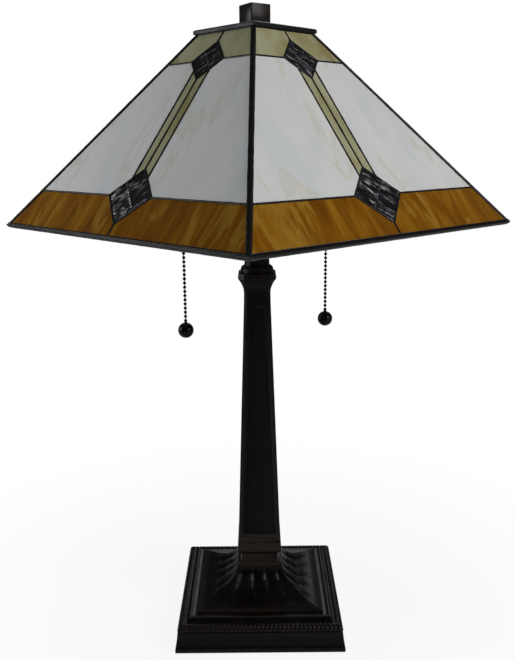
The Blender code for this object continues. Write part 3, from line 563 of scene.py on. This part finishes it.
def metal_material(name, dark, roughness, metallic, grain, wear_and_highlight=None, specular=PATINA_SPECULAR):
    """A patinated metal: mottled colour, uneven gloss, and a lighter colour on the convex edges that is
    partly wear and partly a painted highlight.
    """
    material, tree, shader = new_material(name, metallic, Specular_IOR_Level=specular)
    mottle = object_noise(tree, *MOTTLE_NOISE)
    colour = ramp(tree, mottle, zip(MOTTLE_SPAN, (dark, tuple(c * MOTTLE_GAIN for c in dark))))
    # Convex edges are lightened by pointiness: partly wear, partly a painted highlight
    if wear_and_highlight is not None:
        worn_and_lit, strength = wear_and_highlight
        edge = add_node(tree, "ShaderNodeNewGeometry").outputs["Pointiness"]
        amount = ramp(tree, edge, [(WEAR_HIGHLIGHT_FROM, (0.0,)), (WEAR_HIGHLIGHT_TO, (strength,))])
        mixed = add_node(tree, "ShaderNodeMixRGB", None, Fac=amount, Color1=colour, Color2=(*worn_and_lit, 1.0))
        colour = mixed.outputs["Color"]
    tree.links.new(colour, shader.inputs["Base Color"])
    low, high = (roughness + change for change in MOTTLE_GLOSS)
    add_gloss(tree, shader, mottle, low, high, MOTTLE_GLOSS_SPAN)
    add_bump(tree, shader, object_noise(tree, *GRAIN_NOISE), grain, GRAIN_DEPTH)
    return material


def soft_material(name, mottle, colours, gloss=None, bump=None, **inputs):
    """A surface with a fine mottle in its colour, and in its gloss and relief where they are given."""
    material, tree, shader = new_material(name, **inputs)
    fine = object_noise(tree, *mottle)
    tree.links.new(ramp(tree, fine, zip(SOFT_SPAN, colours)), shader.inputs["Base Color"])
    if gloss is not None:
        add_gloss(tree, shader, fine, *gloss)
    if bump is not None:
        add_bump(tree, shader, fine, *bump)
    return material


def make_materials():
    made = {kind: glass_material(**look) for kind, look in GLASSES.items()}
    made["dark"] = dark_glass()
    made.update({kind: metal_material(**look) for kind, look in METALS.items()})
    made.update({kind: soft_material(**look) for kind, look in SOFT.items()})
    return made


# ------------------------------------------------------------ shade

def pane_plane(name):
    """A pane's plane (x across, y up the slope, z outward), its front outline and its thickness."""
    points = node_points(name)
    centre = points.mean(axis=0)
    normal = np.linalg.svd(points - centre)[2][2]
    if normal @ np.array([centre[0], centre[1], 0.0]) < 0.0:
        normal = -normal
    across = np.cross((0.0, 0.0, 1.0), normal)
    across /= np.linalg.norm(across)
    climb = np.cross(normal, across)
    local = (points - centre) @ np.array([across, climb, normal]).T
    front = local[:, 2].max()
    thickness = front - local[:, 2].min()
    outline = np.unique(np.round(local[local[:, 2] > front - thickness / 2.0][:, :2], 6), axis=0)
    middle = outline.mean(axis=0)
    order = np.argsort(np.arctan2(outline[:, 1] - middle[1], outline[:, 0] - middle[0]))
    place = Matrix.Identity(4)
    for column, axis in enumerate((across, climb, normal)):
        place.col[column] = (*axis, 0.0)
    place.col[3] = (*(centre + normal * front), 1.0)
    return place, outline[order], thickness


def lengthened(outline, drop):
    """An outline whose lowest edge is moved down in line with the two edges beside it."""
    low = outline[:, 1].min()
    longer = outline.copy()
    for index, corner in enumerate(outline):
        if corner[1] - low > LEVEL_REACH:
            continue
        for beside in (outline[index - 1], outline[(index + 1) % len(outline)]):
            if beside[1] - low > LEVEL_REACH:
                longer[index] = corner + (corner - beside) * drop / (beside[1] - corner[1])
    return longer


def clipped_grid(outline, cell):
    """A flat grid cut to a convex outline grown by the tuck under the solder."""
    low = outline.min(axis=0) - cell - PANE_TUCK
    high = outline.max(axis=0) + cell + PANE_TUCK
    size = high - low
    middle = (low + high) / 2.0
    bm = bmesh.new()
    scale = Matrix.Diagonal((size[0], size[1], 1.0, 1.0))
    place = Matrix.Translation((middle[0], middle[1], 0.0)) @ scale
    steps = [max(1, math.ceil(s / cell)) for s in size]
    bmesh.ops.create_grid(bm, x_segments=steps[0], y_segments=steps[1], size=0.5, matrix=place)
    for start, end in zip(outline, np.roll(outline, -1, axis=0)):
        along = (end - start) / np.linalg.norm(end - start)
        out = Vector((along[1], -along[0], 0.0))
        edge = Vector((start[0], start[1], 0.0)) + out * PANE_TUCK
        parts = bm.verts[:] + bm.edges[:] + bm.faces[:]
        bmesh.ops.bisect_plane(bm, geom=parts, dist=TINY, plane_co=edge, plane_no=out, clear_outer=True)
    for edge in bm.edges:
        edge.smooth = not edge.is_boundary
    return bm


def wave_relief(seed):
    """The gentle waviness of rolled sheet glass."""
    def wave(x, y, scale, layer):
        return noise.noise(Vector((x * scale[0], y * scale[1], layer)))

    def height(x, y):
        broad = wave(x, y, WAVE_BROAD, seed)
        fine = wave(x, y, WAVE_FINE, seed + WAVE_FINE_LAYER)
        return GLASS_WAVE * (broad + WAVE_FINE_SHARE * fine), 0.0
    return height


def ripple_relief(outline, seed, along_first):
    """Steep ripples along one pair of a diamond's edges, and two ridges that quarter it."""
    top = outline[np.argmax(outline[:, 1])]
    left = outline[np.argmin(outline[:, 0])]
    right = outline[np.argmax(outline[:, 0])]
    basis = np.linalg.inv(np.array([(top - left) / 2.0, (right - top) / 2.0]).T)
    centre = (left + right) / 2.0
    size = np.linalg.norm(top - left) / 2.0
    scale = size / RIPPLE_PITCH

    def warp(run, cross, layer):
        return WARP_SIZE * noise.noise(Vector((run * WARP_SCALE, cross * WARP_SCALE, layer + WARP_LAYER)))

    def ripples(run, cross, layer, strength, along, over):
        return strength * noise.noise(Vector((run * scale * along, cross * scale * over, layer)))

    def height(x, y):
        a, b = basis @ (np.array([x, y]) - centre)
        run, cross = (a, b) if along_first else (b, a)
        quarter = seed + RIPPLE_QUARTERS[0] * (a > 0.0) + RIPPLE_QUARTERS[1] * (b > 0.0)
        warped = cross + warp(run, cross, quarter)
        ripple = ripples(run, warped, quarter, *RIPPLE_COARSE)
        ripple += ripples(run, warped, quarter + RIPPLE_FINE_LAYER, *RIPPLE_FINE)
        main = 1.0 - abs(run) * size / RIDGE_HALF
        faint = RIDGE_FAINT - abs(cross) * size / RIDGE_HALF
        ridge = max(main, faint, 0.0)
        # How much painted highlight this point's colour gets, from its ripple crest and its ridge
        crest_highlight = min(1.0, max(ripple * RIPPLE_HIGHLIGHT, ridge * RIDGE_HIGHLIGHT, 0.0))
        return RIPPLE_HEIGHT * (ripple * (1.0 - ridge) + RIDGE_RISE * ridge), crest_highlight
    return height


def build_pane(name, kind, seed, materials):
    place, outline, thickness = pane_plane(name)
    if kind == "dark":
        bm = clipped_grid(outline, DIAMOND_CELL * (1.0))
        relief = ripple_relief(outline, seed, name.split("_")[2] == "left")
    else:
        if kind == "amber":
            outline = lengthened(outline, RIM_OVERLAP)
        bm = clipped_grid(outline, PANE_CELL)
        relief = wave_relief(seed)
    crest_highlights = []
    for vertex in bm.verts:
        vertex.co.z, crest_highlight = relief(vertex.co.x, vertex.co.y)
        crest_highlights.append(crest_highlight)
    mesh = mesh_of(bm, name.replace("pane", "glass"))
    # The crest values carry the dark glass's painted highlight
    for label, values in (("seed", [seed] * len(crest_highlights)), ("crest_highlight", crest_highlights)):
        mesh.attributes.new(label, "FLOAT", "POINT").data.foreach_set("value", values)
    if mesh.polygons[0].normal.z < 0.0:
        mesh.flip_normals()
    pane = new_piece(mesh.name, mesh, "shade", materials[kind], (name,), place)
    solid = pane.modifiers.new("Solidify", "SOLIDIFY")
    solid.thickness = thickness
    solid.offset = -1.0


def build_panes(materials):
    names = sorted(n for n in frame["nodes"] if n.startswith("pane_"))
    for index, name in enumerate(names):
        kind = KINDS[name.split("_")[3]]
        build_pane(name, kind, SEED_START + SEED_STEP * index, materials)


def square_corners(points, level):
    """The four outer corners of a square section near a height, in order round the axis."""
    near = points[np.abs(points[:, 2] - level) < LEVEL_REACH]
    far = near[np.argmax(np.hypot(near[:, 0], near[:, 1]))]
    return [Matrix.Rotation(math.pi / 2.0 * k, 3, "Z") @ Vector(far) for k in range(4)]


def shade_corners():
    """The pyramid's corners under the cap and at the rim, both in the same order."""
    points = node_points("shade_came")
    low = square_corners(points, points[:, 2].min())
    proud = RIM_PROUD * math.sqrt(2.0)
    low = [corner - Vector((corner.x, corner.y, 0.0)).normalized() * proud for corner in low]
    high = square_corners(points, points[:, 2].max())
    start = max(range(4), key=lambda k: high[k].xy.dot(low[0].xy))
    high = [high[(start + k) % 4] for k in range(4)]
    share = CROWN_TUCK / (high[0].z - low[0].z)
    return [high[k].lerp(low[k], share) for k in range(4)], low


def lattice_lines(half_high, half_low):
    """The soldered lines of one face: ends as (metres across, share of the slope from the crown)."""
    def hip(t):
        return half_high + (half_low - half_high) * t

    lines = [((0.0, 0.0), (0.0, UPPER_DIAMOND[0])), ((0.0, UPPER_DIAMOND[2]), (0.0, LOWER_DIAMOND[0]))]
    lines.append(((0.0, LOWER_DIAMOND[2]), (0.0, 1.0 - HIP_STOP)))
    for side in (-1.0, 1.0):
        for top, middle, bottom, half in (UPPER_DIAMOND, LOWER_DIAMOND):
            lines.append(((0.0, top), (side * half, middle)))
            lines.append(((side * half, middle), (0.0, bottom)))
            lines.append(((side * half, middle), (side * hip(middle), middle)))
        share = 1.0 - STRIP_HALF / UPPER_DIAMOND[3]
        strip_top = UPPER_DIAMOND[1] + (UPPER_DIAMOND[2] - UPPER_DIAMOND[1]) * share
        share = STRIP_HALF / LOWER_DIAMOND[3]
        strip_foot = LOWER_DIAMOND[0] + (LOWER_DIAMOND[1] - LOWER_DIAMOND[0]) * share
        lines.append(((side * STRIP_HALF, strip_top), (side * STRIP_HALF, strip_foot)))
    return lines


def bridge(bm, ring, after):
    """Faces between two closed rings with the same count of points."""
    for corner in range(len(ring)):
        nxt = (corner + 1) % len(ring)
        bm.faces.new((ring[corner], ring[nxt], after[nxt], after[corner]))


def rounded(value, power):
    """A sine or cosine raised to a power that keeps its sign."""
    return math.copysign(abs(value) ** power, value)


def solder_line(bm, start, end, out, half_width, high, deep, lumps=1.0):
    """One came line under solder, its section a soft oval that swells and thins along the run."""
    run = end - start
    across = out.cross(run).normalized()
    centre = (high - deep) / 2.0
    reach = (high + deep) / 2.0
    count = max(2, int(run.length / SOLDER_STEP))
    rings = []
    for step in range(count + 1):
        place = start + run * (step / count)
        swell = 1.0 + lumps * sum(size * noise.noise(place * scale) for size, scale in SOLDER_SWELL)
        tall = reach * (1.0 + SOLDER_SWELL_OUT * (swell - 1.0))
        lift = SOLDER_LIFT[0] * noise.noise(place * SOLDER_LIFT[1] + SOLDER_LIFT_SHIFT)
        ring = []
        for corner in range(SOLDER_SIDES):
            angle = 2.0 * math.pi * corner / SOLDER_SIDES
            x = rounded(math.cos(angle), SOLDER_SQUARE) * half_width * swell
            z = centre + rounded(math.sin(angle), SOLDER_SQUARE) * tall + lift
            ring.append(bm.verts.new(place + across * x + out * z))
        rings.append(ring)
    for ring, after in zip(rings, rings[1:]):
        bridge(bm, ring, after)
    bm.faces.new(rings[0][::-1])
    bm.faces.new(rings[-1])


def solder_joint(bm, place, out, radius, high, deep):
    """A flattened bead of solder where lines meet."""
    turn = out.to_track_quat("Z", "Y").to_matrix().to_4x4()
    centre = Matrix.Translation(place + out * ((high - deep) / 2.0))
    matrix = centre @ turn @ Matrix.Diagonal((radius, radius, (high + deep) / 2.0, 1.0))
    bmesh.ops.create_uvsphere(bm, u_segments=JOINT_SIDES, v_segments=JOINT_RINGS, radius=1.0, matrix=matrix)


def rim_section():
    """The rim channel's outline as (up the slope, out of the face plane) points."""
    foot_w = RIM_PROUD - RIM_THICK / 2.0
    foot = []
    for step in range(RIM_FOOT_STEPS + 1):
        angle = math.pi * step / RIM_FOOT_STEPS
        foot.append((RIM_FOOT * (1.0 - math.sin(angle)), foot_w + RIM_THICK / 2.0 * math.cos(angle)))
    outer = [(u, RIM_PROUD + w) for u, w in RIM_FACE]
    inner = [(u, RIM_PROUD - RIM_THICK - w) for u, w in RIM_FACE]
    return outer[::-1] + foot + inner


def add_rim(bm, high, low):
    """The folded channel swept round the rim with mitred corners."""
    slope = (high[0] + high[1] - low[0] - low[1]) / 2.0
    inward, up = Vector((slope.xy.length, slope.z)).normalized()
    section = [(u * inward - w * up, u * up + w * inward) for u, w in rim_section()]
    rings = []
    for side in range(4):
        for step in range(RIM_STEPS):
            corner = low[side].lerp(low[(side + 1) % 4], step / RIM_STEPS)
            plane = (low[side] + low[(side + 1) % 4]) / 2.0
            across = corner - plane
            half = plane.xy.length
            lump = RIM_LUMP[0] * noise.noise(corner * RIM_LUMP[1])
            ring = []
            for pull, lift in section:
                share = (half - pull) / half
                place = Vector((plane.x, plane.y, 0.0)) * share + across * share
                ring.append(bm.verts.new(place + Vector((0.0, 0.0, plane.z + lift + lump))))
            rings.append(ring)
    for ring, after in zip(rings, rings[1:] + rings[:1]):
        bridge(bm, ring, after)


def build_lattice(material):
    """The blackened lead and solder: hip beads, lines, joints, crown and a folded rim channel."""
    high, low = shade_corners()
    half_high = (high[0] - high[1]).length / 2.0
    half_low = (low[0] - low[1]).length / 2.0
    outs = []
    bm = bmesh.new()
    for k in range(4):
        across = (low[(k + 1) % 4] - low[k]).normalized()
        crown = (high[k] + high[(k + 1) % 4]) / 2.0
        slope = (low[k] + low[(k + 1) % 4]) / 2.0 - crown
        out = slope.cross(across).normalized()
        outs.append(out)

        def at(x, t):
            return crown + across * x + slope * t

        joints = set()
        for start, end in lattice_lines(half_high, half_low):
            solder_line(bm, at(*start), at(*end), out, CAME_HALF, SOLDER_HIGH, SOLDER_DEEP)
            joints.update((start, end))
        for x, t in (joint for joint in joints if joint[1] < 1.0 - HIP_STOP):
            solder_joint(bm, at(x, t), out, CAME_HALF * JOINT_GROWTH, JOINT_HIGH, SOLDER_DEEP)
        solder_line(bm, at(-half_high, 0.0), at(half_high, 0.0), out, CAME_HALF, SOLDER_HIGH, SOLDER_DEEP)
    for k in range(4):
        hip_out = (outs[k] + outs[k - 1]).normalized()
        sink = hip_out * -HIP_SINK
        foot = low[k].lerp(high[k], HIP_STOP)
        solder_line(bm, high[k] + sink, foot + sink, hip_out, HIP_HALF, HIP_HALF, HIP_HALF, HIP_LUMPS)
    add_rim(bm, high, low)
    mesh = mesh_of(bm, "solder_lattice")
    mesh.set_sharp_from_angle(angle=CAST_SHARP)
    new_piece("solder_lattice", mesh, "shade", material, ("shade_came",))


# ------------------------------------------------------------ base

def base_profile():
    """(half width, height, share of the rope or None) points round the base's closed section."""
    low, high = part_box("base")
    half, bottom, top = high.x, low.z, high.z
    section = [(BASE_HOLE_HALF, top)] + [(h, top) for h in BASE_LIP]
    for start, end in zip(BASE_RISE, BASE_RISE[1:]):
        for step in range(BASE_RISE_STEPS):
            section.append(tuple(a + (b - a) * step / BASE_RISE_STEPS for a, b in zip(start, end)))
    section += BASE_LEDGE
    curve = arc(ROPE_CENTRE, ROPE_R, *ROPE_ARC, ROPE_ARC_STEPS)
    rope = [(*point, index / ROPE_ARC_STEPS) for index, point in enumerate(curve)]
    side = list(BASE_SIDE)
    side += [(half - inside, height) for inside, height in BASE_SKIRT]
    side += [(half - inside, bottom + rise) for inside, rise in BASE_FOOT]
    side += [(BASE_RECESS_HALF, bottom), *BASE_UNDER]
    return [(h, z, None) for h, z in section] + rope + [(h, z, None) for h, z in side]


def profile_normals(profile):
    """Outward normals of the section, which runs clockwise seen with +X right and +Z up."""
    flat = np.array([(p[0], p[1]) for p in profile])
    run = np.roll(flat, -1, axis=0) - np.roll(flat, 1, axis=0)
    normals = np.stack([-run[:, 1], run[:, 0]], axis=1)
    return normals / np.linalg.norm(normals, axis=1)[:, None]


def base_lift(point, share, flute_top):
    """How far the surface stands out of the plain section, share of the side from -1 to 1."""
    half, height, rope = point
    if rope is not None:
        phase = ROPE_STRANDS * share / 2.0 + ROPE_TWIST * rope
        strand = abs(math.cos(math.pi * phase))
        ends = math.sin(math.pi * rope)
        return ROPE_DEPTH * (strand - LIFT_MEAN) * min(1.0, ROPE_FADE * ends)
    if FLUTE_TOP_HALF - FLUTE_MARGIN < half < FLUTE_FOOT_HALF and FLUTE_LOW < height < flute_top:
        reach = (half - FLUTE_TOP_HALF) / (FLUTE_FOOT_HALF - FLUTE_TOP_HALF)
        pitch = FLUTE_TOP_PITCH + (FLUTE_FOOT_PITCH - FLUTE_TOP_PITCH) * reach
        lobe = abs(math.cos(math.pi * share * half / pitch)) ** FLUTE_ROUND
        end = FLUTE_FOOT_HALF - FLUTE_END * (1.0 - lobe)
        weight = 1.0 - smoothstep(end - FLUTE_FADE, end, half)
        return FLUTE_DEPTH * weight * (lobe - LIFT_MEAN)
    return 0.0


def build_base(material):
    profile = base_profile()
    normals = profile_normals(profile)
    flute_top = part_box("base")[1].z - FLUTE_MARGIN
    steps = BASE_STEPS
    bm = bmesh.new()
    rings = []
    for point, normal in zip(profile, normals):
        ring = []
        for side in range(4):
            turn = Matrix.Rotation(math.pi / 2.0 * side, 3, "Z")
            for step in range(steps):
                share = -1.0 + 2.0 * step / steps
                lift = base_lift(point, share, flute_top)
                half = point[0] + normal[0] * lift
                ring.append(bm.verts.new(turn @ Vector((share * half, -half, point[1] + normal[1] * lift))))
        rings.append(ring)
    for ring, after in zip(rings, rings[1:] + rings[:1]):
        bridge(bm, ring, after)
    mesh = mesh_of(bm, "base_casting")
    mesh.set_sharp_from_angle(angle=CAST_SHARP)
    new_piece("base_casting", mesh, "stand", material, ("base",))


# ------------------------------------------------------------ chains, bulbs, sockets

def bead_string(name, low_z, high_z, tail=None):
    """A ball chain from a height down to another, with an optional tail profile, as one turned mesh."""
    count = int(round((high_z - low_z) / BEAD_PITCH))
    link = math.degrees(math.asin(LINK_R / BEAD_R))
    profile = [(0.0, high_z), (LINK_R, high_z)]
    for index in range(count):
        centre = (0.0, high_z - BEAD_PITCH * (index + 0.5))
        profile += arc(centre, BEAD_R, 90.0 - link, link - 90.0, BEAD_STEPS)
    profile += tail or [(LINK_R, low_z), (0.0, low_z)]
    return mesh_of(lathe(profile, CHAIN_SIDES), name)


def add_chain(name, node, material, low_z, tail=None):
    """A bead string hung in the place of a chain's node."""
    low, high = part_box(node)
    centre = (low + high) / 2.0
    place = Matrix.Translation((centre.x, centre.y, 0.0))
    mesh = bead_string(name, low_z, high.z, tail)
    new_piece(mesh.name, mesh, node, material, (node,), place)


def build_chains(material):
    for side in ("left", "right"):
        lead = f"{side}_chain_lead"
        add_chain(f"{side}_lead_beads", lead, material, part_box(lead)[0].z)

        pull = f"{side}_pull_chain"
        ball_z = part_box(pull)[0].z + BALL_R
        tail = [(radius, ball_z + BALL_R + rise) for radius, rise in NECK]
        tail += arc((0.0, ball_z), BALL_R, *BALL_ARC, BALL_STEPS)
        add_chain(f"{side}_pull_beads", pull, material, ball_z + BALL_R + NECK_START, tail)


def axis_place(joint):
    """A matrix whose Z runs along a joint's axis from the joint's position."""
    turn = Vector(joint["axis"]).to_track_quat("Z", "Y").to_matrix().to_4x4()
    return Matrix.Translation(Vector(joint["pos_m"])) @ turn


def along_axis(name, place):
    """A node's lowest and highest place along an axis, and its largest radius."""
    local = np.array([place.inverted() @ Vector(p) for p in node_points(name)])
    return local[:, 2].min(), local[:, 2].max(), np.hypot(local[:, 0], local[:, 1]).max()


def build_bulbs(materials):
    for side in ("left", "right"):
        node = f"{side}_bulb"
        place = axis_place(JOINTS[f"{side}_bulb_unscrew"])
        low, high, radius = along_axis(node, place)
        cap_top = low + BULB_CAP_LENGTH
        profile = arc((0.0, high - radius), radius, *BULB_ARC, BULB_STEPS)
        profile += [(r, cap_top + rise) for r, rise in BULB_NECK]
        mesh = mesh_of(lathe(profile, BULB_SIDES), f"{side}_bulb_glass")
        mesh.set_sharp_from_angle(angle=CAST_SHARP)
        new_piece(mesh.name, mesh, node, materials["bulb"], (node,), place)

        cap = [(r, cap_top + rise) for r, rise in BULB_CAP_HEAD]
        thread_low = low + THREAD_FOOT
        thread_high = cap_top - THREAD_TOP
        count = BULB_THREADS * THREAD_STEPS
        for step in range(count + 1):
            z = thread_high + (thread_low - thread_high) * step / count
            cap.append((THREAD_R + THREAD_DEPTH * math.cos(2.0 * math.pi * step / THREAD_STEPS), z))
        cap += [(r, low + rise) for r, rise in BULB_CAP_FOOT]
        mesh = mesh_of(lathe(cap, BULB_CAP_SIDES), f"{side}_bulb_cap")
        mesh.set_sharp_from_angle(angle=THREAD_SHARP)
        new_piece(mesh.name, mesh, node, materials["steel"], (), place)


def build_hardware(materials):
    for name, body, material, slot, edge in HARDWARE:
        refined(name, body, materials[material], edge)


def build_capital_ridges(material):
    """Three fine ridges cast round the band of the column's capital."""
    bm = bmesh.new()
    for half, height in CAPITAL_RIDGES:
        rings = []
        flat = half - CAPITAL_CORNER
        corners = [(half, flat), (flat, half)]
        for quarter in range(4):
            turn = Matrix.Rotation(math.pi / 2.0 * quarter, 3, "Z")
            for x, y in corners:
                outward = Vector((x, y, 0.0)).normalized()
                ring = []
                for step in range(RIDGE_SIDES):
                    angle = 2.0 * math.pi * step / RIDGE_SIDES
                    place = Vector((x, y, CAPITAL_TOP + height)) + outward * (RIDGE_R * math.cos(angle))
                    place.z += RIDGE_R * math.sin(angle)
                    ring.append(bm.verts.new(turn @ place))
                rings.append(ring)
        for ring, after in zip(rings, rings[1:] + rings[:1]):
            bridge(bm, ring, after)
    new_piece("capital_lines", mesh_of(bm, "capital_lines"), "stand", material, ())


def build_cord(material):
    mesh = mesh_of(cad_copy("power_cord"), "cord")
    cord = new_piece("cord", mesh, "stand", material, ("power_cord",))
    smooth = cord.modifiers.new("Subdivision", "SUBSURF")
    smooth.levels = 1
    smooth.render_levels = 1


# ------------------------------------------------------------ stage

def camera_mix(tree, others, seen, amount=1.0):
    """One shader for what the camera sees, mixed by an amount, and another for all other rays."""
    rays = add_node(tree, "ShaderNodeLightPath").outputs["Is Camera Ray"]
    mix = add_node(tree, "ShaderNodeMixShader", None, Fac=product(tree, amount, rays))
    tree.links.new(others.outputs[0], mix.inputs[1])
    tree.links.new(seen.outputs[0], mix.inputs[2])
    return mix.outputs[0]


def build_stage():
    """A pale floor that fades to white away from the lamp."""
    grey = (FLOOR_GREY, FLOOR_GREY, FLOOR_GREY, 1.0)
    material, tree, shader = new_material("floor", Base_Color=grey, Roughness=FLOOR_ROUGHNESS)
    shader.inputs["Specular IOR Level"].default_value = FLOOR_SPECULAR
    place = add_node(tree, "ShaderNodeTexCoord").outputs["Object"]
    reach = add_node(tree, "ShaderNodeVectorMath", {"operation": "LENGTH"})
    tree.links.new(place, reach.inputs[0])
    settings = {"interpolation_type": "SMOOTHSTEP"}
    fade = add_node(tree, "ShaderNodeMapRange", settings, Value=reach.outputs["Value"])
    fade.inputs["From Min"].default_value = FLOOR_FADE[0]
    fade.inputs["From Max"].default_value = FLOOR_FADE[1]
    fade.inputs["To Min"].default_value = FLOOR_GLOW
    glow = add_node(tree, "ShaderNodeEmission", None, Color=(*EVEN, 1.0), Strength=1.0)
    surface = camera_mix(tree, shader, glow, fade.outputs["Result"])
    tree.links.new(surface, tree.nodes["Material Output"].inputs["Surface"])
    bm = bmesh.new()
    bmesh.ops.create_circle(bm, cap_ends=True, segments=FLOOR_SIDES, radius=FLOOR_R)
    mesh = mesh_of(bm, "floor", smooth=False)
    mesh.materials.append(material)
    floor = bpy.data.objects.new("floor", mesh)
    bpy.context.scene.collection.objects.link(floor)


def area_light(name, place, size, power, colour):
    data = bpy.data.lights.new(name, "AREA")
    data.shape = "SQUARE"
    data.size = size
    data.energy = power
    data.color = colour
    light = bpy.data.objects.new(name, data)
    light.location = place
    light.rotation_euler = (Vector(LIGHT_TARGET) - Vector(place)).to_track_quat("-Z", "Y").to_euler()
    bpy.context.scene.collection.objects.link(light)


def build_lights():
    world = bpy.data.worlds.new("studio")
    world.use_nodes = True
    tree = world.node_tree
    seen = tree.nodes["Background"]
    seen.inputs["Color"].default_value = (*EVEN, 1.0)
    lit = add_node(tree, "ShaderNodeBackground", None, Color=SKY_COLOUR, Strength=SKY_STRENGTH)
    tree.links.new(camera_mix(tree, lit, seen), tree.nodes["World Output"].inputs["Surface"])
    bpy.context.scene.world = world
    for light in LIGHTS:
        area_light(*light)
    bpy.context.scene.view_settings.view_transform = "Standard"


def build_camera():
    right = Vector((math.cos(CAMERA_YAW), -math.sin(CAMERA_YAW), 0.0))
    level = Vector((math.sin(CAMERA_YAW), math.cos(CAMERA_YAW), 0.0))
    ahead = level * math.cos(CAMERA_PITCH) - Vector((0.0, 0.0, math.sin(CAMERA_PITCH)))
    down = ahead.cross(right)
    tilted_right = right * math.cos(CAMERA_ROLL) + down * math.sin(CAMERA_ROLL)
    tilted_down = down * math.cos(CAMERA_ROLL) - right * math.sin(CAMERA_ROLL)
    data = bpy.data.cameras.new("camera")
    data.lens = CAMERA_LENS
    camera = bpy.data.objects.new("camera", data)
    turn = Matrix((tilted_right, -tilted_down, -ahead)).transposed().to_4x4()
    camera.matrix_world = Matrix.Translation((0.0, -CAMERA_DISTANCE, CAMERA_HEIGHT)) @ turn
    bpy.context.scene.collection.objects.link(camera)
    bpy.context.scene.camera = camera


# ------------------------------------------------------------ the lamp

def build_lamp():
    materials = make_materials()
    build_panes(materials)
    build_lattice(materials["solder"])
    build_base(materials["bronze"])
    build_capital_ridges(materials["bronze"])
    build_chains(materials["chain"])
    build_bulbs(materials)
    build_hardware(materials)
    build_cord(materials["vinyl"])


build_lamp()
build_stage()
build_lights()
build_camera()
